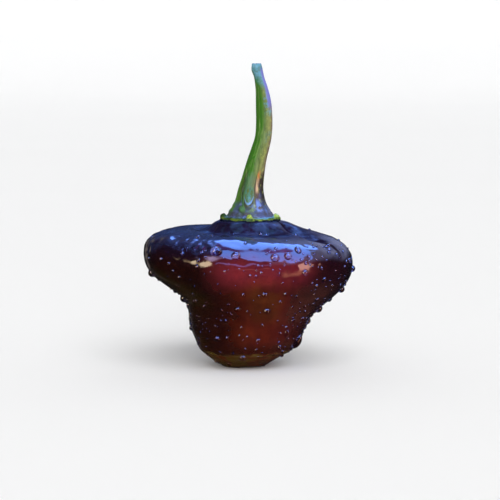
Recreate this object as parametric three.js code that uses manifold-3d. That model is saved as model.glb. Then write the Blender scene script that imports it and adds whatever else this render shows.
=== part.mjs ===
// A cheiro roxa pepper, as picked: a squat, wide-shouldered pod that stands on three low points
// round its blossom end, wet with dew, and its stem, whose foot spreads into a calyx with five teeth.
// Millimetres, +Z up, the photographed side facing -Y. The origin is on the ground, under the
// middle of the pod. Heights are measured from the ground, radii from the pod's upright axis.

import * as THREE from "three";
import { mergeVertices } from "three/addons/utils/BufferGeometryUtils.js";
import Module from "manifold-3d";

const wasm = await Module();
wasm.setup();

// The pod's outline at matching stations, from the middle of the seat under the calyx, over the
// shoulder, down to the blossom end: [radius, height] on the left (-X), front and back, and right (+X).
const POD_STATIONS = [
  { left: [0, 24.9], face: [0, 24.9], right: [0, 24.9] }, // middle of the seat
  { left: [4.3, 24.8], face: [4.3, 24.8], right: [4.4, 24.85] },
  { left: [5.4, 24.45], face: [5.4, 24.45], right: [5.6, 24.6] }, // edge of the seat
  { left: [6.6, 23.8], face: [6.3, 23.75], right: [6.9, 24.4] }, // neck
  { left: [8.2, 23.4], face: [7.7, 23.0], right: [8.4, 23.85] }, // hollow round the neck
  { left: [10.5, 23.6], face: [9.8, 23.1], right: [10.6, 23.1] }, // top of the shoulder
  { left: [13.0, 23.6], face: [12.0, 22.95], right: [12.9, 22.4] },
  { left: [15.3, 23.2], face: [14.0, 22.3], right: [14.9, 21.75] },
  { left: [17.1, 22.1], face: [15.6, 21.0], right: [16.6, 20.65] },
  { left: [18.0, 20.2], face: [16.3, 19.2], right: [17.65, 18.9] }, // widest
  { left: [17.85, 18.1], face: [16.2, 17.4], right: [17.75, 16.8] },
  { left: [16.8, 16.15], face: [15.5, 15.7], right: [17.15, 14.95] },
  { left: [15.1, 14.7], face: [14.4, 14.0], right: [15.8, 13.2] }, // under the shoulder
  { left: [13.0, 13.2], face: [13.1, 12.3], right: [14.1, 11.6] },
  { left: [11.4, 11.9], face: [12.0, 10.7], right: [12.2, 10.0] },
  { left: [10.7, 10.3], face: [11.1, 9.1], right: [10.7, 8.3] }, // waist
  { left: [10.25, 8.2], face: [10.4, 7.4], right: [9.8, 6.7] },
  { left: [9.85, 6.0], face: [9.8, 5.7], right: [9.2, 5.2] }, // body
  { left: [8.9, 3.9], face: [8.9, 4.0], right: [8.3, 3.7] },
  { left: [7.2, 2.0], face: [7.4, 2.3], right: [6.7, 2.4] },
  { left: [5.4, 0.6], face: [5.4, 0.8], right: [4.9, 1.3] }, // turn of the blossom end
  { left: [3.8, -0.15], face: [3.5, -0.15], right: [3.2, 0.25] }, // low point on the left
  { left: [1.9, 0.35], face: [1.8, 0.35], right: [2.2, -0.26] }, // low point on the right
  { left: [0, 0.8], face: [0, 0.8], right: [0, 0.8] }, // dimple
];
const SIDE_SHARPNESS = 1.4; // how soon the left and right outlines give way to the front's and back's
const POD_HEART = [0, 0, 14]; // the point that furrows are pressed in towards

// The furrows between the pod's lobes: direction in degrees round the axis (0 is +X, -90 is the
// front), how far that direction has turned at the blossom end, depth and half-width in mm and
// degrees, and the stretch of the outline they run along, from 0 at the seat to 1 at the tip.
const FURROWS = [
  { angle: -15, turn: -40, depth: 1.0, halfWidth: 11, from: 0.11, to: 0.3 },
  { angle: -20, turn: -42, depth: 0.35, halfWidth: 17, from: 0.4, to: 0.8 },
  { angle: 98, turn: -20, depth: 0.9, halfWidth: 17, from: 0.12, to: 0.78 },
  { angle: -128, turn: -4, depth: 0.3, halfWidth: 15, from: 0.15, to: 0.78 },
  { angle: 165, turn: 15, depth: 0.35, halfWidth: 15, from: 0.3, to: 0.75 },
];
const FURROW_FADE = 0.06; // share of the outline over which a furrow dies away at each end

// Slow unevenness of the skin: height in mm, waves round the pod, waves down it, and offset.
const SWELLS = [
  { height: 0.14, round: 3, down: 0.9, offset: 0.6 },
  { height: 0.07, round: 5, down: 1.7, offset: 2.3 },
];

const FOOT_LOBES = 3; // low points that the pod stands on
const FIRST_FOOT = 210; // degrees: the one at the front left
const FOOT_RISE = 0.35; // how far the blossom end lifts between them
const FOOT_FROM = 0.82; // where on the outline the low points begin

const POD_COLUMNS = 66;
const POD_ROWS = 44;

// The stem: [middle X, height, radius] from under the calyx up to the cut end.
const STEM_STATIONS = [
  [0.35, 25.15, 0],
  [0.35, 25.15, 4.0],
  [0.35, 24.95, 4.85], // foot of the lip, drooping over the edge of the seat
  [0.35, 25.0, 5.05],
  [0.35, 25.25, 5.15], // lip
  [0.35, 25.5, 4.95],
  [0.35, 25.72, 4.5],
  [0.36, 25.97, 4.0],
  [0.38, 26.5, 3.62],
  [0.38, 27.4, 3.02], // foot of the flare
  [0.38, 28.65, 2.46],
  [0.45, 30.5, 2.06],
  [0.95, 33.0, 1.77],
  [1.5, 35.3, 1.62],
  [2.15, 37.4, 1.52],
  [2.65, 39.4, 1.4],
  [2.78, 42.0, 1.34], // outermost point of the bend
  [2.65, 45.0, 1.27],
  [2.35, 47.3, 1.08],
  [1.9, 49.2, 0.88],
  [1.55, 50.4, 0.95], // knuckle where it was picked
  [1.45, 51.35, 0.82],
  [1.42, 51.6, 0.7],
  [1.42, 51.6, 0],
];
const STEM_FOOT = 25.15; // where the stem's bow towards the back begins
const STEM_TOP = 51.6; // and where it ends
const STEM_BOW = 0.7;
const STEM_COLUMNS = 40;
const STEM_ROWS = 46;
const TOOTH_COUNT = 5;
const FIRST_TOOTH = -92; // degrees: the tooth at the front
const TOOTH = { radius: 0.5, fromAxis: 4.75, height: 25.75, stretchOut: 1.15, stretchUp: 1.25 };
const RIB_SHARE = 0.055; // ribs on the stem, one above each tooth, as a share of its radius
const RIBS_FROM = 25.8; // height at which the ribs begin
const LIP_WAVE = 0.1; // how far the lip dips between the teeth

// Dew: the larger drops, each [direction in degrees, height, radius, stretch down the slope].
const DROPS = [
  [-4, 16.8, 0.62, 1],
  [-6, 13.3, 0.66, 1],
  [-10, 10.0, 0.7, 1.1],
  [-8, 7.8, 0.55, 1.1],
  [8, 6.5, 0.55, 1],
  [-23, 4.6, 0.92, 1.6],
  [-47, 6.5, 0.5, 1.7],
  [-51, 4.1, 0.4, 1.2],
  [-80, 5.6, 0.5, 1],
  [-97, 2.5, 0.7, 0.8],
  [-122, 5.8, 0.65, 0.9],
  [-75, 11.0, 0.75, 0.8],
  [-98, 11.3, 0.6, 0.8],
  [-93, 13.9, 0.45, 1],
  [-79, 14.0, 0.6, 0.8],
  [-66, 20.4, 0.68, 1],
  [-58, 21.2, 0.62, 1.2],
  [-74, 20.2, 0.8, 0.9],
  [-109, 21.2, 1.1, 0.8],
  [-97, 20.6, 0.8, 0.9],
  [-56, 17.6, 0.6, 0.9],
  [-41, 16.0, 0.45, 1.2],
];
const SCATTERED_DROPS = 22; // further drops, for the sides that the photograph doesn't show
const SCATTERED_RADIUS = [0.4, 0.75];
const SCATTERED_HEIGHT = [3.5, 21.5];
const SCATTERED_SECTOR = [20, 200]; // degrees: right, back and left
const DROP_SUNK = 0.4; // share of a drop's radius that lies under the skin

const DEGREE = Math.PI / 180;

function smoothStep(low, high, value) {
  return THREE.MathUtils.smoothstep(value, low, high);
}

// The turn between two directions, in degrees, from -180 to 180.
function turnBetween(a, b) {
  return THREE.MathUtils.euclideanModulo(a - b + 180, 360) - 180;
}

function bell(distance, halfWidth) {
  return Math.exp(-((distance / halfWidth) ** 2));
}

// The outline on one side of the pod ("left", "face" or "right") as a smooth curve.
function outlineOf(side) {
  return new THREE.SplineCurve(POD_STATIONS.map((station) => new THREE.Vector2(...station[side])));
}

const leftOutline = outlineOf("left");
const faceOutline = outlineOf("face");
const rightOutline = outlineOf("right");

// How far the skin is pushed out (or, if negative, in) at a place on the pod.
function podRelief(angle, along) {
  let relief = 0;
  for (const furrow of FURROWS) {
    const { from, to } = furrow;
    const off = turnBetween(angle, furrow.angle + furrow.turn * along);
    const begins = smoothStep(from - FURROW_FADE, from + FURROW_FADE, along);
    const ends = 1 - smoothStep(to - FURROW_FADE, to + FURROW_FADE, along);
    relief -= furrow.depth * bell(off, furrow.halfWidth) * begins * ends;
  }
  const onTheSide = smoothStep(0.08, 0.2, along) * (1 - smoothStep(0.78, 0.88, along));
  for (const { height, round, down, offset } of SWELLS) {
    const wave = Math.sin(round * angle * DEGREE + down * Math.PI * along + offset);
    relief += height * wave * onTheSide;
  }
  return relief;
}

// A point of the pod's skin: angle in degrees round the axis, along from 0 at the seat to 1 at the tip.
function podPoint(angle, along) {
  const turn = angle * DEGREE;
  const toLeft = Math.max(0, -Math.cos(turn)) ** SIDE_SHARPNESS;
  const toRight = Math.max(0, Math.cos(turn)) ** SIDE_SHARPNESS;
  const outline = faceOutline.getPoint(along);
  outline.lerp(leftOutline.getPoint(along), toLeft).lerp(rightOutline.getPoint(along), toRight);
  const point = new THREE.Vector3(outline.x * Math.cos(turn), outline.x * Math.sin(turn), outline.y);

  const outward = point.clone().sub(new THREE.Vector3(...POD_HEART)).normalize();
  point.addScaledVector(outward, podRelief(angle, along));

  const betweenFeet = (1 - Math.cos(FOOT_LOBES * (angle - FIRST_FOOT) * DEGREE)) / 2;
  const nearTip = smoothStep(FOOT_FROM, 0.89, along) * (1 - smoothStep(0.93, 1, along));
  point.z = Math.max(0, point.z + FOOT_RISE * betweenFeet * nearTip);
  return point;
}

// A closed surface of rows and columns whose first and last rows each draw together into one point.
function closedGrid(rows, columns, pointAt) {
  const positions = [pointAt(0, 0), pointAt(0, 1)];
  for (let row = 1; row < rows; row++) {
    for (let column = 0; column < columns; column++) {
      positions.push(pointAt(column / columns, row / rows));
    }
  }
  const index = [];
  const vertex = (row, column) => 2 + (row - 1) * columns + (column % columns);
  for (let column = 0; column < columns; column++) {
    index.push(0, vertex(1, column), vertex(1, column + 1));
    index.push(1, vertex(rows - 1, column + 1), vertex(rows - 1, column));
    for (let row = 1; row < rows - 1; row++) {
      const [a, b] = [vertex(row, column), vertex(row, column + 1)];
      const [c, d] = [vertex(row + 1, column + 1), vertex(row + 1, column)];
      index.push(a, c, b, a, d, c);
    }
  }
  return new THREE.BufferGeometry().setFromPoints(positions).setIndex(index);
}

function solidOf(geometry) {
  const bare = geometry.clone();
  bare.deleteAttribute("normal");
  bare.deleteAttribute("uv");
  const merged = mergeVertices(bare, 1e-4);
  const vertProperties = merged.attributes.position.array;
  const triVerts = new Uint32Array(merged.index.array);
  return new wasm.Manifold(new wasm.Mesh({ numProp: 3, vertProperties, triVerts }));
}

function geometryOf(solid) {
  const { vertProperties, triVerts } = solid.getMesh();
  const geometry = new THREE.BufferGeometry();
  geometry.setAttribute("position", new THREE.BufferAttribute(vertProperties, 3));
  geometry.setIndex(new THREE.BufferAttribute(triVerts, 1));
  geometry.computeVertexNormals();
  return geometry;
}

// Where on the outline the skin below the shoulder's top is at a height.
function alongAtHeight(angle, height) {
  let [above, below] = [0.24, 0.88];
  for (let step = 0; step < 30; step++) {
    const middle = (above + below) / 2;
    if (podPoint(angle, middle).z > height) above = middle;
    else below = middle;
  }
  return (above + below) / 2;
}

// One drop: a bead with its foot under the skin, drawn out down the slope by its stretch.
function dropSolid([angle, height, radius, stretch]) {
  const along = alongAtHeight(angle, height);
  const place = podPoint(angle, along);
  const downSlope = podPoint(angle, along + 0.004).sub(podPoint(angle, along - 0.004)).normalize();
  const sideways = podPoint(angle + 1, along).sub(podPoint(angle - 1, along)).normalize();
  const outward = new THREE.Vector3().crossVectors(downSlope, sideways).normalize();
  const across = new THREE.Vector3().crossVectors(outward, downSlope);
  const bead = new THREE.IcosahedronGeometry(radius, 1);
  bead.applyMatrix4(new THREE.Matrix4().makeScale(stretch, 1, 1));
  bead.applyMatrix4(new THREE.Matrix4().makeBasis(downSlope, across, outward));
  const middle = place.addScaledVector(outward, -DROP_SUNK * radius);
  bead.translate(middle.x, middle.y, middle.z);
  return solidOf(bead);
}

// A repeatable draw from 0 to 1 for a whole number.
function draw(number) {
  const value = Math.sin(number * 12.9898) * 43758.5453;
  return value - Math.floor(value);
}

function scatteredDrops() {
  const { lerp } = THREE.MathUtils;
  const drops = [];
  for (let number = 1; number <= SCATTERED_DROPS; number++) {
    const angle = lerp(...SCATTERED_SECTOR, (number * 0.618034 + 0.1 * draw(number)) % 1);
    const height = lerp(...SCATTERED_HEIGHT, draw(number + 100));
    const radius = lerp(...SCATTERED_RADIUS, draw(number + 200) ** 2);
    drops.push([angle, height, radius, 1]);
  }
  return drops;
}

function makePod() {
  const skin = closedGrid(POD_ROWS, POD_COLUMNS, (u, v) => podPoint(u * 360, v));
  const drops = [...DROPS, ...scatteredDrops()].map(dropSolid);
  return geometryOf(drops.reduce((pod, drop) => pod.add(drop), solidOf(skin)));
}

const stemCurve = new THREE.CatmullRomCurve3(
  STEM_STATIONS.map(([x, z, r]) => new THREE.Vector3(x, z, r)),
  false,
  "catmullrom",
);

// How far the stem's middle has bowed towards the back at a height.
function bowAt(height) {
  return STEM_BOW * Math.sin((Math.PI * (height - STEM_FOOT)) / (STEM_TOP - STEM_FOOT));
}

// A point of the stem or its calyx: angle in degrees, along from 0 under the calyx to 1 at the cut end.
function stemPoint(angle, along) {
  const turn = angle * DEGREE;
  const { x: middle, y: height, z: measured } = stemCurve.getPoint(along);
  const ridge = Math.cos(TOOTH_COUNT * (angle - FIRST_TOOTH) * DEGREE);
  const ribs = RIB_SHARE * ridge * smoothStep(RIBS_FROM, RIBS_FROM + 1, height);
  const radius = Math.max(0, measured) * (1 + ribs);
  const onLip = smoothStep(4.2, 4.8, measured) * smoothStep(STEM_FOOT - 0.15, STEM_FOOT, height);
  return new THREE.Vector3(
    middle + radius * Math.cos(turn),
    bowAt(height) + radius * Math.sin(turn),
    height + LIP_WAVE * ridge * onLip,
  );
}

// One tooth of the calyx: a small knob on the lip, leaning outwards.
function toothSolid(angle) {
  const knob = new THREE.IcosahedronGeometry(TOOTH.radius, 1);
  knob.applyMatrix4(new THREE.Matrix4().makeScale(TOOTH.stretchOut, 1, TOOTH.stretchUp));
  knob.translate(TOOTH.fromAxis, 0, TOOTH.height);
  knob.applyMatrix4(new THREE.Matrix4().makeRotationZ(angle * DEGREE));
  knob.translate(STEM_STATIONS[0][0], 0, 0);
  return solidOf(knob);
}

function makeStem() {
  // Rows run upwards here, so the columns run the other way round to keep the faces pointing out.
  let stem = solidOf(closedGrid(STEM_ROWS, STEM_COLUMNS, (u, v) => stemPoint(-u * 360, v)));
  for (let tooth = 0; tooth < TOOTH_COUNT; tooth++) {
    stem = stem.add(toothSolid(FIRST_TOOTH + (tooth * 360) / TOOTH_COUNT));
  }
  return geometryOf(stem);
}

const podSkin = new THREE.MeshStandardMaterial({ color: 0x3a0d14, roughness: 0.18, metalness: 0 });
const stemGreen = new THREE.MeshStandardMaterial({ color: 0x5f8a3c, roughness: 0.5, metalness: 0 });

const pod = new THREE.Mesh(makePod(), podSkin);
pod.name = "pod";
const stem = new THREE.Mesh(makeStem(), stemGreen);
stem.name = "stem_and_calyx";

const pepper = new THREE.Group();
pepper.add(pod, stem);

// The pod's middle, front to back and side to side, is set over the origin.
const extent = new THREE.Box3().setFromObject(pepper);
const middle = extent.getCenter(new THREE.Vector3());
pepper.position.set(-middle.x, -middle.y, -extent.min.z);

export default pepper;
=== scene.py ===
"""A cheiro roxa pepper, as photographed: a wet, purple-black pod standing on its blossom end.

The pod, the stem with its calyx, and the dew are each a class that holds its sizes, builds its mesh
and dresses it. Shapes are worked out in millimetres round the pod's upright axis, with the
photographed side facing -Y, and are set down in metres at their place in the frame.
"""

from __future__ import annotations

import logging
import math
from dataclasses import dataclass, field
from enum import Enum

import bpy
import numpy as np
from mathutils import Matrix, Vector


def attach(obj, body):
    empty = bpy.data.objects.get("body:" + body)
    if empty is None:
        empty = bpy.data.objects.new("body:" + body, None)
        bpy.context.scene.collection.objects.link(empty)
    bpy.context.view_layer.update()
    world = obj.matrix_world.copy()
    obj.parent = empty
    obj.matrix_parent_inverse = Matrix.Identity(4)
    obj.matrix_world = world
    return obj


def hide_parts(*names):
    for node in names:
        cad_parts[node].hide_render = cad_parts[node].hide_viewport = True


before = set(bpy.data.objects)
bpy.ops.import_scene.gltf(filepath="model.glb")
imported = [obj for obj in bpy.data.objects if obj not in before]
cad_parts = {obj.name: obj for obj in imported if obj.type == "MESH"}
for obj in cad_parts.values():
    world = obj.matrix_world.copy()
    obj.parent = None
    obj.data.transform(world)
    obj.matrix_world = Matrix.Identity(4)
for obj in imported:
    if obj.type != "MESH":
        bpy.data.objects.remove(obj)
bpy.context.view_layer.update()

logging.basicConfig(level=logging.INFO, format="%(levelname)s %(message)s")
log = logging.getLogger("pepper")

Array = np.ndarray
Colour = tuple[float, float, float]

MM = 0.001
AXIS_PLACE = (-0.1804, 0.2936)  # where the pod's axis stands in the frame, in mm
INSET = 0.998  # keeps the rounded skin inside the box of the faceted solids
STIR, SPREAD = 12.9898, 43758.5453  # these turn a whole number into a repeatable draw
GOLDEN = 0.618034  # share of a span between one scattered thing and the next


class Slot(Enum):
    """The record's material slots."""

    SKIN = "pod_skin"
    GREEN = "stem_green"


# ---------------------------------------------------------------- curves, fades and draws


def smooth_step(low: float, high: float, value: Array) -> Array:
    """Fades from 0 to 1 between two values.

    Args:
        low: where the fade begins.
        high: where it ends.
        value: the values to fade.

    Returns:
        The fade at each value.
    """
    share = np.clip((value - low) / (high - low), 0, 1)
    return share * share * (3 - 2 * share)


def bell(distance: Array, half_width: float) -> Array:
    """Gives a bell curve that is 1 in the middle.

    Args:
        distance: distance from the middle.
        half_width: distance at which it has fallen to about a third.

    Returns:
        The height of the bell at each distance.
    """
    return np.exp(-((distance / half_width) ** 2))


def turn_between(a: Array, b: Array | float) -> Array:
    """Gives the turn from one direction to another.

    Args:
        a: directions in degrees.
        b: the direction or directions to turn from.

    Returns:
        The turns in degrees, from -180 to 180.
    """
    return (a - b + 180) % 360 - 180


def through(stations: Array, along: Array, carried_on: bool = False) -> Array:
    """Draws an even Catmull-Rom curve through stations.

    Args:
        stations: one row for each station.
        along: where on the curve, from 0 to 1.
        carried_on: whether the curve's ends run on straight, and not to rest.

    Returns:
        One row for each value of along.
    """
    last = len(stations) - 1
    place = np.clip(along, 0, 1) * last
    start = np.minimum(np.floor(place).astype(int), last - 1)
    t = (place - start)[..., None]
    ends = (2 * stations[0] - stations[1], 2 * stations[-1] - stations[-2])
    first, final = ends if carried_on else (stations[0], stations[-1])
    padded = np.vstack([first, stations, final])
    p0, p1, p2, p3 = (padded[start + step] for step in range(4))
    v1, v2 = (p2 - p0) / 2, (p3 - p1) / 2
    cubic = (2 * p1 - 2 * p2 + v1 + v2) * t**3
    return cubic + (-3 * p1 + 3 * p2 - 2 * v1 - v2) * t**2 + v1 * t + p1


def draw(number: int) -> float:
    """Gives a repeatable draw for a whole number.

    Args:
        number: the number of the draw.

    Returns:
        A value from 0 to 1.
    """
    value = math.sin(number * STIR) * SPREAD
    return value - math.floor(value)


@dataclass(frozen=True)
class Unevenness:
    """A sum of sine waves in space, for skin that is never quite smooth.

    Attributes:
        wavelength: mean length of a wave, in mm.
        waves: number of waves that are summed.
        seed: seed of the waves' directions and offsets.
    """

    wavelength: float
    waves: int = 20
    seed: int = 1

    def at(self, points: Array) -> Array:
        """Gives the unevenness at points.

        Args:
            points: positions in mm, in the last dimension.

        Returns:
            Heights of about -1 to 1.
        """
        rng = np.random.default_rng(self.seed)
        total = np.zeros(points.shape[:-1])
        for _ in range(self.waves):
            direction = rng.normal(size=3)
            direction /= np.linalg.norm(direction)
            number = 2 * math.pi / (self.wavelength * rng.uniform(0.7, 1.5))
            total += np.sin(points @ (direction * number) + rng.uniform(0, 2 * math.pi))
        return total * 1.4 / math.sqrt(self.waves)


# ---------------------------------------------------------------- meshes


def set_down(points: Array) -> Array:
    """Moves points from the pod's axis, in mm, to their place in the frame, in metres.

    Args:
        points: positions round the pod's axis, in mm.

    Returns:
        Positions in the frame, in metres.
    """
    placed = points.copy()
    placed[..., :2] = placed[..., :2] * INSET + np.array(AXIS_PLACE)
    return placed * MM


def add_mesh(name: str, points: Array, faces: list) -> bpy.types.Object:
    """Makes a mesh object that is shaded smooth.

    Args:
        name: the object's name.
        points: vertex positions in metres.
        faces: vertex numbers of each face.

    Returns:
        The new object, linked to the scene.
    """
    mesh = bpy.data.meshes.new(name)
    mesh.from_pydata(points.tolist(), [], faces)
    mesh.validate()
    mesh.shade_smooth()
    piece = bpy.data.objects.new(name, mesh)
    bpy.context.scene.collection.objects.link(piece)
    return piece


def closed_grid(name: str, grid: Array, upwards: bool = False) -> bpy.types.Object:
    """Makes a closed surface of rows and columns, whose first and last rows are single points.

    Args:
        name: the object's name.
        grid: positions in metres, rows by columns by 3. The first and last rows are the two poles.
        upwards: whether the rows run upwards, which turns the faces round.

    Returns:
        The new object, with a UV map: U round it from +X, V along its rows.
    """
    rows, columns = grid.shape[:2]
    body = grid[1:-1].reshape(-1, 3)
    points = np.vstack([grid[0, 0], grid[-1, 0], body])
    faces, maps = [], []

    def vertex(row: int, column: int) -> int:
        """Gives a grid corner's vertex number."""
        return 2 + (row - 1) * columns + column % columns

    def uv(row: int, column: float) -> tuple[float, float]:
        """Gives a grid corner's place in the UV map."""
        return column / columns, row / (rows - 1)

    for column in range(columns):
        faces.append((0, vertex(1, column), vertex(1, column + 1)))
        maps.append((uv(0, column + 0.5), uv(1, column), uv(1, column + 1)))
        faces.append((1, vertex(rows - 2, column + 1), vertex(rows - 2, column)))
        maps.append((uv(rows - 1, column + 0.5), uv(rows - 2, column + 1), uv(rows - 2, column)))
        for row in range(1, rows - 2):
            ring = [(row, column), (row + 1, column), (row + 1, column + 1), (row, column + 1)]
            faces.append(tuple(vertex(*corner) for corner in ring))
            maps.append(tuple(uv(*corner) for corner in ring))
    if upwards:
        faces = [face[::-1] for face in faces]
        maps = [corners[::-1] for corners in maps]
    piece = add_mesh(name, points, faces)
    layer = piece.data.uv_layers.new(name="round_and_along")
    flat = np.array([value for corners in maps for corner in corners for value in corner])
    layer.data.foreach_set("uv", flat.astype(np.float32))
    return piece


# ---------------------------------------------------------------- the pod


@dataclass(frozen=True)
class Furrow:
    """A furrow between the pod's lobes.

    Attributes:
        angle: direction in degrees round the axis, 0 at +X and -90 at the front.
        turn: how far that direction has turned at the blossom end.
        depth: depth in mm.
        half_width: half-width in degrees.
        begins: where on the outline it begins, from 0 at the seat to 1 at the tip.
        ends: where it ends.
        wander: how far it wanders to either side, in degrees.
    """

    angle: float
    turn: float
    depth: float
    half_width: float
    begins: float
    ends: float
    wander: float = 0.0
    FADE = 0.06

    def relief(self, angle: Array, along: Array) -> Array:
        """Gives how far the furrow moves the skin.

        Args:
            angle: directions in degrees.
            along: places on the outline.

        Returns:
            Relief in mm, negative inwards.
        """
        middle = self.angle + self.turn * along + self.wander * np.sin(55 * along)
        starts = smooth_step(self.begins - self.FADE, self.begins + self.FADE, along)
        stops = 1 - smooth_step(self.ends - self.FADE, self.ends + self.FADE, along)
        return -self.depth * bell(turn_between(angle, middle), self.half_width) * starts * stops


@dataclass(frozen=True)
class Dent:
    """A shallow dent, or with a negative depth a swelling, in the skin.

    Attributes:
        angle: direction of its middle in degrees.
        along: its middle's place on the outline.
        depth: depth in mm.
        across: half-width round the pod, in degrees.
        down: half-length along the outline.
    """

    angle: float
    along: float
    depth: float
    across: float
    down: float

    def relief(self, angle: Array, along: Array) -> Array:
        """Gives how far the dent moves the skin.

        Args:
            angle: directions in degrees.
            along: places on the outline.

        Returns:
            Relief in mm, negative inwards.
        """
        round_it = turn_between(angle, self.angle) / self.across
        return -self.depth * bell(np.hypot(round_it, (along - self.along) / self.down), 1)


@dataclass
class PodShape:
    """The pod's form, which the mesh and the dew both follow.

    Attributes:
        left: outline on the -X side, radius and height at each station, from seat to blossom end.
        face: outline on the front and back.
        right: outline on the +X side.
        side_sharpness: how soon the side outlines give way to the front's and back's.
        heart: the point that relief is pressed in towards.
        furrows: the furrows between the lobes, the first ones as in the solid.
        swells: slow waves: height, waves round, waves down, offset.
        dents: small dents of the shoulder.
        tip_rim: where on the outline the low rim round the blossom end runs.
        collar: height in mm of the swelling against the calyx.
    """

    left: Array = field(
        default_factory=lambda: np.array([
            [0, 24.9], [4.3, 24.8], [5.4, 24.45], [6.6, 23.8], [8.2, 23.4], [10.5, 23.6],
            [13.0, 23.6], [15.3, 23.2], [17.1, 22.1], [18.0, 20.2], [17.85, 18.1], [16.8, 16.15],
            [15.1, 14.7], [13.0, 13.2], [11.4, 11.9], [10.7, 10.3], [10.25, 8.2], [9.85, 6.0],
            [8.9, 3.9], [7.2, 2.0], [5.4, 0.6], [3.8, -0.15], [1.9, 0.35], [0, 0.8],
        ])
    )
    face: Array = field(
        default_factory=lambda: np.array([
            [0, 24.9], [4.3, 24.8], [5.4, 24.45], [6.3, 23.75], [7.7, 23.0], [9.8, 23.1],
            [12.0, 22.95], [14.0, 22.3], [15.6, 21.0], [16.3, 19.2], [16.2, 17.4], [15.5, 15.7],
            [14.4, 14.0], [13.1, 12.3], [12.0, 10.7], [11.1, 9.1], [10.4, 7.4], [9.8, 5.7],
            [8.9, 4.0], [7.4, 2.3], [5.4, 0.8], [3.5, -0.15], [1.8, 0.35], [0, 0.8],
        ])
    )
    right: Array = field(
        default_factory=lambda: np.array([
            [0, 24.9], [4.4, 24.85], [5.6, 24.6], [6.9, 24.4], [8.4, 23.85], [10.6, 23.1],
            [12.9, 22.4], [14.9, 21.75], [16.6, 20.65], [17.65, 18.9], [17.75, 16.8],
            [17.15, 14.95], [15.8, 13.2], [14.1, 11.6], [12.2, 10.0], [10.7, 8.3], [9.8, 6.7],
            [9.2, 5.2], [8.3, 3.7], [6.7, 2.4], [4.9, 1.3], [3.2, 0.25], [2.2, -0.26], [0, 0.8],
        ])
    )
    side_sharpness: float = 1.4
    heart: tuple[float, float, float] = (0, 0, 14)
    furrows: tuple[Furrow, ...] = (
        Furrow(-15, -40, 1.0, 11, 0.11, 0.3),
        Furrow(-20, -42, 0.35, 17, 0.4, 0.8),
        Furrow(98, -20, 0.9, 17, 0.12, 0.78),
        Furrow(-128, -4, 0.3, 15, 0.15, 0.78),
        Furrow(165, 15, 0.35, 15, 0.3, 0.75),
        Furrow(-19, -22, 0.3, 2.6, 0.12, 0.31, 1.5),
        Furrow(97, -18, 0.2, 3.2, 0.12, 0.3, 2.0),
        Furrow(-62, 0, 0.16, 3.5, 0.1, 0.2, 2.0),
        Furrow(-150, 6, 0.16, 4.0, 0.1, 0.24, 3.0),
    )
    swells: tuple[tuple[float, int, float, float], ...] = ((0.14, 3, 0.9, 0.6), (0.07, 5, 1.7, 2.3))
    dents: tuple[Dent, ...] = (
        Dent(-33, 0.33, 0.28, 6, 0.022),
        Dent(-118, 0.33, 0.2, 6, 0.028),
        Dent(-131, 0.345, 0.22, 6, 0.03),
        Dent(-141, 0.31, 0.14, 6, 0.025),
        Dent(-153, 0.35, 0.1, 7, 0.03),
        Dent(-166, 0.31, 0.1, 7, 0.03),
        Dent(-99, 0.31, 0.14, 6, 0.02),
        Dent(-84, 0.36, 0.1, 7, 0.018),
        Dent(-52, 0.2, 0.16, 6, 0.02),
        Dent(150, 0.3, 0.2, 8, 0.03),
        Dent(62, 0.3, 0.2, 7, 0.03),
        Dent(18, 0.32, 0.18, 7, 0.03),
    )
    tip_rim: float = 0.812
    collar: float = 0.62
    FEET = 3
    FIRST_FOOT = 210.0
    FOOT_RISE = 0.35
    FOOT_FROM = 0.82
    COLLAR_RADIUS = 5.5
    COLLAR_SLOPES = (0.95, 1.6)  # half-widths of the collar inside and outside its radius, in mm

    def bare(self, angle: Array, along: Array) -> Array:
        """Gives the skin before any relief.

        Args:
            angle: directions in degrees.
            along: places on the outline.

        Returns:
            Positions in mm.
        """
        turn = np.radians(angle)
        to_left = np.maximum(0, -np.cos(turn)) ** self.side_sharpness
        to_right = np.maximum(0, np.cos(turn)) ** self.side_sharpness
        outline = (
            through(self.face, along) * (1 - to_left - to_right)[..., None]
            + through(self.left, along) * to_left[..., None]
            + through(self.right, along) * to_right[..., None]
        )
        radius, height = outline[..., 0], outline[..., 1]
        return np.stack([radius * np.cos(turn), radius * np.sin(turn), height], axis=-1)

    def relief(self, angle: Array, along: Array, points: Array) -> Array:
        """Gives how far the skin is pushed out at each place.

        Args:
            angle: directions in degrees.
            along: places on the outline.
            points: the bare skin there, in mm.

        Returns:
            Relief in mm.
        """
        total = sum(furrow.relief(angle, along) for furrow in self.furrows)
        total = total + sum(dent.relief(angle, along) for dent in self.dents)
        on_side = smooth_step(0.08, 0.2, along) * (1 - smooth_step(0.78, 0.88, along))
        for height, waves_round, waves_down, offset in self.swells:
            wave = waves_round * np.radians(angle) + waves_down * math.pi * along + offset
            total = total + height * np.sin(wave) * on_side
        on_top = smooth_step(0.09, 0.2, along) * (1 - smooth_step(0.36, 0.46, along))
        to_the_left = 0.3 + 0.7 * bell(turn_between(angle, -165), 60)
        total = total + 0.05 * Unevenness(5.2, seed=4).at(points) * on_top * to_the_left
        total = total + 0.03 * Unevenness(2.1, seed=9).at(points) * on_top * to_the_left
        total = total + 0.017 * Unevenness(1.3, seed=15).at(points) * on_top * to_the_left
        total = total + 0.012 * Unevenness(1.6, seed=12).at(points) * on_side
        rim = self.tip_rim + 0.012 * np.sin(np.radians(angle + 40)) + 0.004 * np.sin(3 * np.radians(angle))
        total = total + 0.16 * bell(along - rim, 0.014) - 0.1 * bell(along - rim + 0.03, 0.02)
        before = 0.5 + 0.5 * bell(turn_between(angle, -90), 55)
        outside = np.hypot(points[..., 0], points[..., 1]) - self.COLLAR_RADIUS
        inner, outer = self.COLLAR_SLOPES
        slope = bell(outside / np.where(outside > 0, outer, inner), 1)
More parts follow.
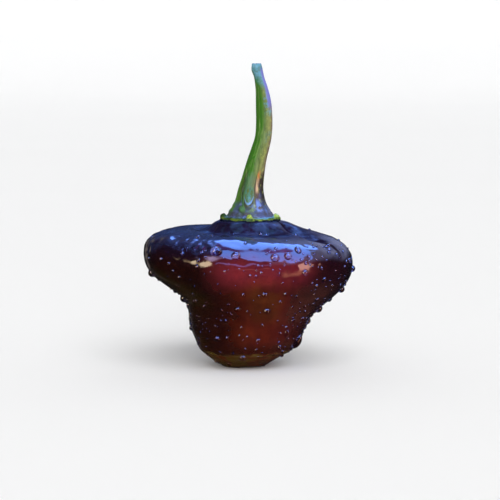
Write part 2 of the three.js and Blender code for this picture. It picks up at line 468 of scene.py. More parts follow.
        total = total + self.collar * before * slope * (along < 0.3)
        return total + 0.03 * Unevenness(6.5, seed=6).at(points) * on_side

    def at(self, angle: Array, along: Array) -> Array:
        """Gives the finished skin.

        Args:
            angle: directions in degrees round the axis.
            along: places on the outline, from 0 at the seat to 1 at the blossom end.

        Returns:
            Positions in mm round the pod's axis.
        """
        points = self.bare(angle, along)
        outward = points - np.array(self.heart)
        outward /= np.linalg.norm(outward, axis=-1, keepdims=True)
        points = points + outward * self.relief(angle, along, points)[..., None]
        between = (1 - np.cos(self.FEET * np.radians(angle - self.FIRST_FOOT))) / 2
        near_tip = smooth_step(self.FOOT_FROM, 0.89, along) * (1 - smooth_step(0.93, 1, along))
        height = points[..., 2] + self.FOOT_RISE * between * near_tip
        points[..., 2] = np.maximum(0, height)
        return points

    def along_at(self, angle: Array, height: Array) -> Array:
        """Finds where on the outline the skin under the shoulder's top is at a height.

        Args:
            angle: directions in degrees.
            height: heights in mm.

        Returns:
            Places on the outline.
        """
        above, below = np.full(np.shape(angle), 0.24), np.full(np.shape(angle), 0.88)
        for _ in range(24):
            middle = (above + below) / 2
            higher = self.at(angle, middle)[..., 2] > height
            above, below = np.where(higher, middle, above), np.where(higher, below, middle)
        return (above + below) / 2


@dataclass
class Pod:
    """The pod's fine mesh.

    Attributes:
        shape: its form.
        columns: faces round it.
        rows: faces from seat to blossom end.
    """

    shape: PodShape
    columns: int = 400
    rows: int = 244

    def build(self, finish: SkinFinish) -> bpy.types.Object:
        """Builds and dresses the pod.

        Args:
            finish: the finish of its skin.

        Returns:
            The pod, riding on the root.
        """
        along, angle = np.meshgrid(
            np.linspace(0, 1, self.rows), np.arange(self.columns) * 360 / self.columns, indexing="ij"
        )
        piece = closed_grid("pod_skin", set_down(self.shape.at(angle, along)))
        piece.data.materials.append(finish.material())
        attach(piece, "root")
        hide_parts("pod")
        log.info("pod: %d faces", len(piece.data.polygons))
        return piece


# ---------------------------------------------------------------- the stem and its calyx


@dataclass(frozen=True)
class Wart:
    """A small wart on the pedicel.

    Attributes:
        angle: its direction in degrees.
        height: its height in mm.
        radius: its radius in mm.
    """

    angle: float
    height: float
    radius: float


@dataclass
class Stem:
    """The pedicel, and the calyx that its foot spreads into.

    Attributes:
        stations: middle X, height and radius, from under the calyx to the cut end.
        bow: how far the middle bows towards the back, in mm.
        teeth: number of calyx teeth, each with a rib above it.
        first_tooth: direction of the tooth at the front, in degrees.
        rib_share: height of the ribs as a share of the radius.
        warts: small warts on the pedicel.
        columns: faces round it.
        rows: faces along it.
    """

    stations: Array = field(
        default_factory=lambda: np.array([
            [0.35, 25.15, 0], [0.35, 25.15, 4.0], [0.35, 24.95, 4.85], [0.35, 25.0, 5.05],
            [0.35, 25.25, 5.15], [0.35, 25.5, 4.95], [0.35, 25.72, 4.5], [0.36, 25.97, 4.0],
            [0.38, 26.5, 3.62], [0.38, 27.4, 3.02], [0.38, 28.65, 2.46], [0.45, 30.5, 2.06],
            [0.95, 33.0, 1.77], [1.5, 35.3, 1.62], [2.15, 37.4, 1.52], [2.65, 39.4, 1.4],
            [2.78, 42.0, 1.34], [2.65, 45.0, 1.27], [2.35, 47.3, 1.08], [1.9, 49.2, 0.88],
            [1.55, 50.4, 0.95], [1.45, 51.35, 0.82], [1.42, 51.6, 0.7], [1.42, 51.6, 0],
        ])
    )
    bow: float = 0.7
    teeth: int = 5
    first_tooth: float = -92.0
    rib_share: float = 0.055
    warts: tuple[Wart, ...] = (
        Wart(-60, 43.4, 0.2), Wart(-78, 43.0, 0.16), Wart(-38, 43.9, 0.15), Wart(-95, 41.2, 0.13),
        Wart(-70, 36.3, 0.16), Wart(-110, 35.6, 0.14), Wart(160, 39.0, 0.18), Wart(75, 34.5, 0.17),
    )
    columns: int = 260
    rows: int = 370
    FOOT = 25.15
    TOP = 51.6
    GRIP = 0.12  # how far the calyx is let down onto the pod's seat
    STRIP = (-97, 19)  # direction and half-width in degrees of the raised strip in front

    def knobs(self, angle: Array, height: Array, measured: Array) -> Array:
        """Gives the calyx teeth: blunt knobs on the lip.

        Args:
            angle: directions in degrees.
            height: heights in mm.
            measured: distances from the stem's middle in mm.

        Returns:
            Shares from 0 to 1.
        """
        crown = np.exp(-(((height - 25.6) / 0.34) ** 4)) * smooth_step(3.9, 4.4, measured)
        total = np.zeros(np.shape(angle))
        for number in range(self.teeth):
            middle = self.first_tooth + number * 360 / self.teeth
            half_width = 5.4 + 1.6 * draw(number + 40)
            size = 0.75 + 0.35 * draw(number + 60)
            total = total + size * np.exp(-((turn_between(angle, middle) / half_width) ** 4))
        return total * crown

    def creases(self, angle: Array, height: Array) -> Array:
        """Gives the grooves and ridges where the pedicel widens into the calyx.

        Args:
            angle: directions in degrees.
            height: heights in mm.

        Returns:
            Relief in mm.
        """
        upper = 1 - smooth_step(31.5, 34.5, height)
        on_flare = smooth_step(27.2, 28.4, height) * upper
        front, half_width = self.STRIP
        aside = turn_between(angle, front) / half_width
        round_end = height - 27.6 - 0.9 * aside**2
        strip = np.exp(-(aside**4)) * smooth_step(-0.15, 0.25, round_end)
        total = 0.15 * strip * upper
        grooves = ((-127, 0.2, 6), (-44, 0.17, 7), (28, 0.16, 8), (96, 0.16, 8), (168, 0.15, 8))
        for middle, depth, width in grooves:
            wander = 3 * np.sin(1.7 * height + middle)
            total = total - depth * bell(turn_between(angle, middle + wander), width) * on_flare
        total = total + 0.09 * bell(turn_between(angle, -74 + 2 * np.sin(height)), 5) * on_flare
        folds = bell(height - 27.1, 0.12) * bell(turn_between(angle, -105), 18)
        folds = folds - bell(height - 27.35, 0.14) * bell(turn_between(angle, -68), 16)
        return total + 0.09 * folds

    def relief(self, angle: Array, height: Array, measured: Array) -> Array:
        """Gives how far the surface stands out from its plain round section.

        Args:
            angle: directions in degrees.
            height: heights in mm.
            measured: the plain radius in mm.

        Returns:
            Relief in mm.
        """
        turn = np.radians(angle)
        rough = np.stack([measured * np.cos(turn), measured * np.sin(turn), height * 0.2], axis=-1)
        on_pedicel = smooth_step(25.9, 26.8, height)
        ribs = self.rib_share * np.cos(self.teeth * np.radians(angle - self.first_tooth)) * on_pedicel
        ribs = ribs + 0.012 * np.cos(13 * turn + 0.12 * height) * smooth_step(27, 29, height)
        ribs = ribs + 0.006 * np.sin(29 * turn + 1.1 * np.sin(height * 0.7)) * smooth_step(27.5, 30, height)
        wrinkles = 0.045 * np.sin(17 * turn + 2 * np.sin(3 * turn)) * bell(height - 26.2, 0.5)
        ring_height = 26.5 + 0.34 * np.sin(2 * turn + 0.9) + 0.16 * np.sin(5 * turn + 1)
        ring = -0.11 * bell(height - ring_height, 0.2) * np.maximum(0.05, 0.5 + 0.7 * np.sin(3 * turn + 2.0))
        uneven = 0.03 * Unevenness(1.9, seed=23).at(rough) * on_pedicel
        crinkled = smooth_step(25.4, 26, height) * (1 - smooth_step(27.5, 29, height))
        uneven = uneven + 0.03 * Unevenness(0.9, seed=21).at(rough * np.array([1, 1, 5])) * crinkled
        fine = 0
        for wart in self.warts:
            aside = turn_between(angle, wart.angle) / 57.3 * 1.35
            fine = fine + 0.6 * wart.radius * bell(np.hypot(aside, height - wart.height), wart.radius)
        relief = measured * ribs + wrinkles + ring + uneven + fine + self.creases(angle, height)
        return relief * np.clip(measured - 0.35, 0, 1)

    def at(self, angle: Array, along: Array) -> Array:
        """Gives the surface.

        Args:
            angle: directions in degrees.
            along: places from 0 under the calyx to 1 at the cut end.

        Returns:
            Positions in mm round the pod's axis.
        """
        middle, height, measured = np.moveaxis(through(self.stations, along, carried_on=True), -1, 0)
        measured = np.maximum(0, measured)
        turn = np.radians(angle)
        knobs = self.knobs(angle, height, measured)
        on_lip = smooth_step(4.2, 4.8, measured) * smooth_step(self.FOOT - 0.2, self.FOOT + 0.1, height)
        wave = 0.12 * np.sin(9 * turn + 1.7) + 0.08 * np.sin(16 * turn + 0.6)
        radius = measured + self.relief(angle, height, measured) + 0.26 * knobs + 0.5 * wave * on_lip
        droop = smooth_step(4.4, 4.9, measured) * (1 - smooth_step(25.0, 25.4, height))
        lift = 0.86 * knobs + wave * on_lip - 0.2 * droop
        bowed = self.bow * np.sin(np.pi * (height - self.FOOT) / (self.TOP - self.FOOT))
        end = smooth_step(51.3, 51.6, height)
        pith = -0.14 * end * (1 - smooth_step(0.35, 0.65, measured))
        rim = 0.05 * np.sin(5 * turn + 0.7) * end
        sunk = self.GRIP * (1 - smooth_step(26, 30, height))
        level = np.minimum(self.TOP, height + lift + pith + rim - 0.03 * end) - sunk
        return np.stack([middle + radius * np.cos(turn), bowed + radius * np.sin(turn), level], axis=-1)

    def build(self, finish: StemFinish) -> bpy.types.Object:
        """Builds and dresses the stem.

        Args:
            finish: its finish.

        Returns:
            The stem with its calyx, riding on the root.
        """
        along, angle = np.meshgrid(
            np.linspace(0, 1, self.rows), np.arange(self.columns) * 360 / self.columns, indexing="ij"
        )
        piece = closed_grid("stem_with_calyx", set_down(self.at(angle, along)), upwards=True)
        piece.data.materials.append(finish.material())
        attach(piece, "root")
        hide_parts("stem_and_calyx")
        log.info("stem: %d faces", len(piece.data.polygons))
        return piece


# ---------------------------------------------------------------- the dew


@dataclass(frozen=True)
class Drop:
    """One drop of water on the pod.

    Attributes:
        angle: its direction in degrees.
        along: its place on the pod's outline.
        radius: its radius in mm.
        stretch: how far it is drawn out down the slope.
        sunk: share of the radius that lies under the skin.
    """

    angle: float
    along: float
    radius: float
    stretch: float = 1.0
    sunk: float = 0.16


@dataclass
class Dew:
    """Water on the pod: the larger drops that the solid has too, and fine dew between them.

    Attributes:
        shape: the pod's form.
        large: direction, height, radius and stretch of each larger drop on the seen side.
        scattered: number of further larger drops on the other sides, by the solid's rule.
        fine: number of fine drops tried.
        seed: seed of the fine drops' places.
    """

    shape: PodShape
    large: tuple[tuple[float, float, float, float], ...] = (
        (-4, 16.8, 0.62, 1), (-6, 13.3, 0.66, 1), (-10, 10.0, 0.7, 1.1), (-8, 7.8, 0.55, 1.1),
        (8, 6.5, 0.55, 1), (-23, 4.6, 0.92, 1.6), (-47, 6.5, 0.5, 1.7), (-51, 4.1, 0.4, 1.2),
        (-80, 5.6, 0.5, 1), (-97, 2.5, 0.7, 0.8), (-122, 5.8, 0.65, 0.9), (-75, 11.0, 0.75, 0.8),
        (-98, 11.3, 0.6, 0.8), (-93, 13.9, 0.45, 1), (-79, 14.0, 0.6, 0.8), (-66, 20.4, 0.68, 1),
        (-58, 21.2, 0.62, 1.2), (-74, 20.2, 0.8, 0.9), (-109, 21.2, 1.1, 0.8), (-97, 20.6, 0.8, 0.9),
        (-56, 17.6, 0.6, 0.9), (-41, 16.0, 0.45, 1.2),
    )
    scattered: int = 22
    fine: int = 4600
    seed: int = 11
    GAP = 0.12  # least gap between two drops, in mm
    FINE_SUNK = 0.12  # share of a fine drop's radius under the skin
    BEAD_FOOT = -0.35  # height of a bead's foot as a share of its radius
    OFF_FLOOR = 0.02  # least height of a drop over the floor, in mm

    def large_drops(self) -> list[Drop]:
        """Gives the larger drops, at the same places as on the solid.

        Returns:
            The drops.
        """
        rows = list(self.large)
        for number in range(1, self.scattered + 1):
            angle = 20 + 180 * ((number * GOLDEN + 0.1 * draw(number)) % 1)
            height = 3.5 + 18 * draw(number + 100)
            rows.append((angle, height, 0.4 + 0.35 * draw(number + 200) ** 2, 1))
        angles = np.array([row[0] for row in rows], float)
        places = self.shape.along_at(angles, np.array([row[1] for row in rows], float))
        return [Drop(r[0], a, r[2], r[3]) for r, a in zip(rows, places, strict=True)]

    def fine_drops(self, taken: list[Drop]) -> list[Drop]:
        """Draws the fine dew, thicker on the right and none of it on another drop.

        Args:
            taken: drops that are already there.

        Returns:
            The fine drops.
        """
        rng = np.random.default_rng(self.seed)
        angle = rng.uniform(0, 360, self.fine)
        along = rng.uniform(0.1, 0.93, self.fine)
        radius = 0.17 + 0.26 * rng.random(self.fine) ** 1.6
        keep = rng.random(self.fine)
        points = self.shape.at(angle, along)
        ring = np.hypot(points[:, 0], points[:, 1]) / 18
        right = 0.45 + 0.4 * bell(turn_between(angle, -8), 48)
        left_face = bell(turn_between(angle, -150), 40) * (1 - smooth_step(0.42, 0.5, along))
        below = smooth_step(0.42, 0.47, along) * (1 - smooth_step(0.56, 0.62, along))
        wanted = ring * right * (0.08 + 0.92 * smooth_step(0.29, 0.37, along)) * (1 - 0.6 * left_face)
        wanted = wanted * (1 - 0.6 * below) * (1 - 0.6 * smooth_step(0.77, 0.83, along))
        shoulder = 1 - smooth_step(0.47, 0.52, along)
        wanted = wanted * (1 - 0.75 * bell(turn_between(angle, 4), 30) * shoulder)
        wanted = wanted * (1 - 0.85 * bell(turn_between(angle, -178), 30) * shoulder)
        radius = np.where(shoulder * np.abs(np.cos(np.radians(angle))) > 0.85, 0.8 * radius, radius)
        places = [self.shape.at(np.array(d.angle), np.array(d.along)) for d in taken]
        middles, radii = list(places), [d.radius * max(1, d.stretch) for d in taken]
        drops = []
        for number in range(self.fine):
            if keep[number] > wanted[number]:
                continue
            apart = np.linalg.norm(np.array(middles) - points[number], axis=1)
            if np.any(apart < np.array(radii) + radius[number] + self.GAP):
                continue
            middles.append(points[number])
            radii.append(radius[number])
            drops.append(Drop(angle[number], along[number], radius[number], sunk=self.FINE_SUNK))
        return drops

    def bead(self, drop: Drop, columns: int, rows: int) -> tuple[Array, list]:
        """Gives one drop's vertices and faces: a bead whose foot is under the skin.

        Args:
            drop: the drop.
            columns: faces round it.
            rows: faces from its top to its foot.

        Returns:
            Positions in mm, and the faces' vertex numbers.
        """
        angle, along = np.array(drop.angle), np.array(drop.along)
        step = 0.004
        down = self.shape.at(angle, along + step) - self.shape.at(angle, along - step)
        sideways = self.shape.at(angle + 1, along) - self.shape.at(angle - 1, along)
        down /= np.linalg.norm(down)
        outward = np.cross(down, sideways)
        outward /= np.linalg.norm(outward)
        across = np.cross(outward, down)
        foot = math.acos(self.BEAD_FOOT)
        polar = np.linspace(0, foot, rows + 1)[1:, None]
        turn = np.arange(columns)[None, :] * 2 * math.pi / columns
        x = np.sin(polar) * np.cos(turn)
        y = np.sin(polar) * np.sin(turn)
        z = np.cos(polar) * np.ones_like(turn)
        sag = 1 + 0.12 * x * min(1.0, drop.radius)
        local = np.stack([x * drop.stretch, y * sag, z], axis=-1).reshape(-1, 3)
        local = np.vstack([[0, 0, 1], local, [0, 0, math.cos(foot)]]) * drop.radius
        middle = self.shape.at(angle, along) - outward * drop.sunk * drop.radius
        points = middle + local @ np.stack([down, across, outward])
        points[:, 2] = np.maximum(points[:, 2], self.OFF_FLOOR)
        last = 1 + rows * columns
        faces: list = []

        def ring(row: int, column: int) -> int:
            """Gives a vertex number."""
            return 1 + row * columns + column % columns

        for column in range(columns):
            faces.append((0, ring(0, column), ring(0, column + 1)))
            faces.append((last, ring(rows - 1, column + 1), ring(rows - 1, column)))
            for row in range(rows - 1):
                corners = ((row, column), (row + 1, column), (row + 1, column + 1), (row, column + 1))
                faces.append(tuple(ring(*corner) for corner in corners))
        return points, faces

    def piece(self, name: str, drops: list[Drop], columns: int, rows: int) -> bpy.types.Object:
        """Makes one object of many drops.

        Args:
            name: its name.
            drops: the drops.
            columns: faces round each.
            rows: faces down each.

        Returns:
            The new object.
        """
        points, faces, count = [], [], 0
        for drop in drops:
            own_points, own_faces = self.bead(drop, columns, rows)
            faces += [tuple(v + count for v in face) for face in own_faces]
            points.append(own_points)
            count += len(own_points)
        return add_mesh(name, set_down(np.vstack(points)), faces)

    def build(self, finish: WaterFinish) -> list[bpy.types.Object]:
        """Builds and dresses the dew.

        Args:
            finish: the water.

        Returns:
            The pieces, riding on the root.
        """
        large = self.large_drops()
        fine = self.fine_drops(large)
        halves = [[drop for drop in fine if (drop.angle > 180) == front] for front in (True, False)]
        made = [self.piece("dew_large", large, 28, 14)]
        made.append(self.piece("dew_fine_front", halves[0], 12, 6))
        made.append(self.piece("dew_fine_back", halves[1], 10, 5))
        for piece in made:
            piece.data.materials.append(finish.material())
            piece.visible_shadow = False
            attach(piece, "root")
        log.info("dew: %d large drops, %d fine in front, %d behind", len(large), *map(len, halves))
        return made


# ---------------------------------------------------------------- finishes


class Nodes:
    """A short way to add and link a node tree's nodes."""

    def __init__(self, tree: bpy.types.NodeTree) -> None:
        """Starts with an empty tree.

        Args:
            tree: the tree to fill.
        """
        self.tree = tree
        self.tree.nodes.clear()

    def add(self, kind: str, inputs: dict | None = None, **settings: object) -> bpy.types.Node:
        """Adds a node.

        Args:
            kind: the node's type.
            inputs: value or output for each named or numbered input.
            settings: the node's own settings.

        Returns:
            The node.
        """
        node = self.tree.nodes.new(kind)
        for name, value in settings.items():
            setattr(node, name, value)
        for name, value in (inputs or {}).items():
            self.put(node.inputs[name], value)
        return node

    def put(self, socket: bpy.types.NodeSocket, value: object) -> None:
        """Sets or links an input.

        Args:
            socket: the input.
            value: a plain value, a node or an output.
        """
        if isinstance(value, bpy.types.Node):
            value = value.outputs[0]
        if isinstance(value, bpy.types.NodeSocket):
            self.tree.links.new(value, socket)
        elif isinstance(value, tuple) and len(value) == 3 and socket.type == "RGBA":
            socket.default_value = (*value, 1.0)
        else:
            socket.default_value = value

    def math(self, operation: str, *values: object, clamp: bool = False) -> bpy.types.NodeSocket:
        """Adds a Math node.

        Args:
            operation: what it does.
            values: its inputs.
            clamp: whether the result is kept from 0 to 1.

        Returns:
            Its output.
        """
        node = self.add("ShaderNodeMath", dict(enumerate(values)), operation=operation, use_clamp=clamp)
        return node.outputs[0]

    def times(self, a: object, b: object) -> bpy.types.NodeSocket:
        """Multiplies two numbers or sockets."""
        return self.math("MULTIPLY", a, b)

    def plus(self, a: object, b: object, clamp: bool = False) -> bpy.types.NodeSocket:
        """Adds two numbers or sockets, kept from 0 to 1 if clamp is true."""
        return self.math("ADD", a, b, clamp=clamp)

    def less(self, a: object, b: object) -> bpy.types.NodeSocket:
        """Takes the second number or socket from the first."""
        return self.math("SUBTRACT", a, b)

    def apart(self, x: object, y: object) -> bpy.types.NodeSocket:
        """Gives the length of a step with the two sides x and y."""
        return self.math("SQRT", self.plus(self.math("POWER", x, 2.0), self.math("POWER", y, 2.0)))

    def dot(self, direction: object, fixed: Vector | Colour) -> bpy.types.NodeSocket:
        """Gives the dot product of a direction and a fixed vector.

        Args:
            direction: the direction.
            fixed: the fixed vector.

        Returns:
            The product.
        """
        node = self.add("ShaderNodeVectorMath", {0: direction, 1: tuple(fixed)}, operation="DOT_PRODUCT")
        return node.outputs["Value"]

    def fade(self, value: object, low: float, high: float) -> bpy.types.NodeSocket:
        """Fades smoothly from 0 to 1 while a value goes from low to high.

        Args:
            value: the value.
            low: where the fade begins; it may be above high, and the fade then falls.
            high: where it ends.

        Returns:
            The fade.
        """
        node = self.add(
            "ShaderNodeMapRange",
            {"Value": value, "From Min": min(low, high), "From Max": max(low, high)},
            interpolation_type="SMOOTHSTEP",
        )
        rising = node.outputs[0]
        return rising if low < high else self.math("SUBTRACT", 1.0, rising)

    def between(
        self, value: object, low: float, rise: float, fall: float, high: float
    ) -> bpy.types.NodeSocket:
        """Gives 1 where a value lies from rise to fall, and fades to 0 at low and high.

        Args:
            value: the value.
            low: where it starts to rise from 0.
            rise: where it reaches 1.
            fall: where it starts to fall.
            high: where it is back at 0.

        Returns:
            The share.
        """
        return self.times(self.fade(value, low, rise), self.fade(value, high, fall))

    def mix(self, share: object, a: object, b: object, blend: str = "MIX") -> bpy.types.NodeSocket:
        """Mixes two colours.

        Args:
            share: how much of the second.
            a: the first colour.
            b: the second.
            blend: the way of mixing.

        Returns:
            The mixed colour.
        """
        node = self.add("ShaderNodeMix", data_type="RGBA", blend_type=blend)
        self.put(node.inputs["Factor"], share)
        self.put(node.inputs["A"], a)
        self.put(node.inputs["B"], b)
        return node.outputs["Result"]

    def noise(
        self, where: object, scale: float, detail: float = 3.0, rough: float = 0.5
    ) -> bpy.types.NodeSocket:
        """Adds a noise texture.

        Args:
            where: the coordinates.
            scale: its scale.
            detail: its detail.
            rough: its roughness.

        Returns:
            Its value, from 0 to 1.
        """
        inputs = {"Vector": where, "Scale": scale, "Detail": detail, "Roughness": rough}
        return self.add("ShaderNodeTexNoise", inputs).outputs[0]

    def spots(
        self,
        edges: tuple[float, float],
        where: object,
        scale: float,
        detail: float = 3.0,
        rough: float = 0.5,
    ) -> bpy.types.NodeSocket:
        """Gives spots: noise that fades in between two values.

        Args:
            edges: where the fade begins and ends; the spots are the low places if it falls.
            where: the coordinates.
            scale: the noise's scale.
            detail: its detail.
            rough: its roughness.

        Returns:
            The share.
        """
        return self.fade(self.noise(where, scale, detail, rough), *edges)

    def upright(self, where: object, share: float) -> bpy.types.Node:
        """Draws coordinates out along Z, to the given share of their number."""
        return self.add("ShaderNodeMapping", {"Vector": where, "Scale": (1, 1, share)})

    def ramp(
        self, value: object, stops: list[tuple[float, Colour]], ease: str = "LINEAR"
    ) -> bpy.types.NodeSocket:
        """Adds a colour ramp.

        Args:
            value: the value that runs along it.
            stops: place and colour of each stop.
            ease: how it runs between them.

        Returns:
            The colour.
        """
        node = self.add("ShaderNodeValToRGB", {0: value})
        elements = node.color_ramp.elements
        node.color_ramp.interpolation = ease
        while len(elements) < len(stops):
            elements.new(0.5)
        for element, (place, colour) in zip(elements, stops, strict=True):
            element.position = place
            element.color = (*colour, 1.0)
        return node.outputs[0]


def new_material(name: str) -> tuple[bpy.types.Material, Nodes]:
    """Makes an empty node material.

    Args:
        name: its name.

    Returns:
        The material and its nodes.
    """
    material = bpy.data.materials.new(name)
    material.use_nodes = True
    return material, Nodes(material.node_tree)


@dataclass(frozen=True)
class SkinFinish:
    """Wet, glossy pod skin: near black on top, maroon in front with painted shade near black at the left,
    olive at the tip.

    Attributes:
        across: how the body's colour runs from left to right, with painted shade near black at the left and
            darker at the right: distance from the axis in mm, colour.
        crimson: colour of the flesh under the shoulder in front.
        olive: colour in the middle of the belly.
        crest: colour of the shoulder's top.
        tip: colour of the blossom end.
        rim: colour of the painted highlight along the low rim above the blossom end.
        back: colour of the pod's back.
        painted_sky: colour of the bluish painted sky reflection on the shoulder's top near the neck.
        tip_flush: colour of the red spots at the blossom end.
        band: colour of the dark band above the rim.
        streak: what the upright streaks multiply the colour by.
        cloud: what the cloudy darker areas multiply it by.
        fleck: what the small dark flecks multiply it by.
        roughness: roughness of the skin under its film of water.
    """

    across: tuple[tuple[float, Colour], ...] = (
        (-13.0, (0.011, 0.0018, 0.0012)),
        (-8.0, (0.014, 0.0028, 0.0014)),
        (-4.6, (0.021, 0.0030, 0.0015)),
        (-2.6, (0.040, 0.0058, 0.0022)),
        (-0.4, (0.070, 0.0100, 0.0045)),
        (2.6, (0.088, 0.0120, 0.0055)),
        (5.0, (0.074, 0.0088, 0.0056)),
        (7.2, (0.040, 0.0058, 0.0050)),
        (10.0, (0.026, 0.0046, 0.0050)),
        (13.0, (0.015, 0.0024, 0.0050)),
        (18.0, (0.011, 0.0019, 0.0046)),
    )
    crimson: Colour = (0.135, 0.013, 0.020)
    olive: Colour = (0.068, 0.020, 0.0040)
    crest: Colour = (0.0075, 0.003, 0.0095)
    tip: Colour = (0.066, 0.034, 0.0035)
    rim: Colour = (0.14, 0.10, 0.02)
    back: Colour = (0.030, 0.0045, 0.0045)
    painted_sky: Colour = (0.016, 0.028, 0.062)
    tip_flush: Colour = (0.075, 0.018, 0.004)
    band: Colour = (0.02, 0.004, 0.002)
    streak: Colour = (1.5, 1.35, 1.1)
    cloud: Colour = (0.66, 0.62, 0.8)
    fleck: Colour = (0.5, 0.45, 0.5)
    roughness: float = 0.36
    REACH = 18.0  # how far to either side of the axis the body's colours run, in mm
    FURROW = 341 / 360  # direction of the furrow over the right shoulder, as a share of a turn
    FURROW_TURN = 22.0  # how far that direction has turned at the blossom end, in degrees

    def colour(self, nodes: Nodes, place: object) -> bpy.types.NodeSocket:
        """Works out the skin's colour.

        Args:
            nodes: the node tree.
            place: the object coordinates.

        Returns:
            The colour.
        """
        x, y, z = nodes.add("ShaderNodeSeparateXYZ", {0: place}).outputs
        blotch = nodes.less(nodes.noise(place, 230, 4, 0.6), 0.5)
        drift = nodes.times(blotch, 0.0035)
        shifted = nodes.plus(nodes.plus(x, drift), self.REACH * MM)
        # the body's colour from left to right, with painted shade: near black at the left, darker at the
        # right
        stops = [((mm + self.REACH) / (2 * self.REACH), colour) for mm, colour in self.across]
        body = nodes.ramp(nodes.math("DIVIDE", shifted, 2 * self.REACH * MM), stops)
        high = nodes.plus(z, drift)
        under = nodes.times(nodes.fade(high, 0.0136, 0.0176), nodes.fade(x, -0.0090, -0.0025))
        under = nodes.times(under, nodes.fade(x, 0.0125, 0.0075))
        under = nodes.times(under, nodes.fade(y, 0.004, -0.006))
        colour = nodes.mix(nodes.times(under, 0.9), body, self.crimson)
        across = nodes.between(shifted, 0.0165, 0.0195, 0.0215, 0.0245)
        down = nodes.between(high, 0.0078, 0.0105, 0.0140, 0.0168)
        olive = nodes.times(nodes.times(across, down), nodes.fade(y, 0.0, -0.005))
        colour = nodes.mix(nodes.times(olive, 0.6), colour, self.olive)
        back = nodes.fade(y, 0.001, 0.009)
        colour = nodes.mix(nodes.times(back, 0.6), colour, self.back)
        stretched = nodes.upright(place, 0.3)
        streaks = nodes.spots((0.42, 0.72), stretched, 640, 5, 0.62)
        colour = nodes.mix(nodes.times(streaks, 0.5), colour, self.streak, "MULTIPLY")
        clouded = nodes.spots((0.44, 0.6), place, 150, 3, 0.55)
        colour = nodes.mix(nodes.times(clouded, 0.8), colour, self.cloud, "MULTIPLY")
        flecks = nodes.spots((0.6, 0.72), place, 2300, 2, 0.5)
        colour = nodes.mix(nodes.times(flecks, 0.35), colour, self.fleck, "MULTIPLY")
        top = nodes.fade(high, 0.0180, 0.0222)
        # painted sky reflection: bluish spots on the shoulder's top near the neck
        painted_sky = nodes.mix(nodes.spots((0.46, 0.62), place, 480, 3, 0.6), self.crest, self.painted_sky)
        near_neck = nodes.apart(x, y)
        colour = nodes.mix(top, colour, nodes.mix(nodes.fade(near_neck, 0.0115, 0.0085), self.crest, painted_sky))
        low = nodes.fade(nodes.plus(z, nodes.times(blotch, 0.0012)), 0.0034, 0.0024)
        tip = nodes.mix(nodes.spots((0.42, 0.6), place, 330, 3, 0.6), self.tip, self.tip_flush)
        colour = nodes.mix(nodes.times(low, 0.92), colour, tip)
        dark = nodes.between(z, 0.0026, 0.0032, 0.0036, 0.0055)
        colour = nodes.mix(nodes.times(dark, 0.7), colour, self.band)
        # painted highlight: a broken pale line along the low rim above the blossom end
        line = nodes.between(z, 0.00235, 0.00275, 0.0029, 0.0033)
        line = nodes.times(line, nodes.spots((0.42, 0.6), place, 420, 2))
        return nodes.mix(nodes.times(line, 0.55), colour, self.rim)

    def film(self, nodes: Nodes, place: object) -> bpy.types.NodeSocket:
        """Works out how much of the water film lies on the skin: less of it in the hollow.

        Args:
            nodes: the node tree.
            place: the object coordinates.

        Returns:
            The film's share.
        """
        x, y, z = nodes.add("ShaderNodeSeparateXYZ", {0: place}).outputs
        off = nodes.less(x, 0.002)
        from_axis = nodes.plus(nodes.apart(off, y), nodes.times(nodes.noise(place, 300), 0.002))
        hollow = nodes.times(nodes.fade(from_axis, 0.0126, 0.0104), nodes.fade(z, 0.0195, 0.0215))
        dull = nodes.math("MULTIPLY_ADD", nodes.spots((0.46, 0.62), place, 420, 4, 0.6), -0.17, 0.98)
        return nodes.less(1.0, nodes.times(hollow, dull))

    def furrow(self, nodes: Nodes, place: object, mapped: object) -> bpy.types.NodeSocket:
        """Works out where the dull furrow over the right shoulder runs.

        Args:
            nodes: the node tree.
            place: the object coordinates.
            mapped: the UV coordinates, round the pod and along its outline.

        Returns:
            How dull it is, from 0 to 1.
        """
        turn, along, _ = nodes.add("ShaderNodeSeparateXYZ", {0: mapped}).outputs
        wobble = nodes.times(nodes.less(nodes.noise(place, 350, 3), 0.5), 7.0)
        beside = nodes.math("MULTIPLY_ADD", nodes.less(turn, self.FURROW), 360.0, wobble)
        beside = nodes.math("ABSOLUTE", nodes.math("MULTIPLY_ADD", along, self.FURROW_TURN, beside))
        on_it = nodes.between(along, 0.12, 0.15, 0.35, 0.41)
        furrow = nodes.times(nodes.fade(beside, 3.0, 1.0), on_it)
        deepest = nodes.between(along, 0.25, 0.275, 0.29, 0.315)
        pit = nodes.times(nodes.fade(beside, 8.0, 4.0), deepest)
        return nodes.math("MAXIMUM", nodes.times(furrow, 0.85), nodes.times(pit, 0.9))

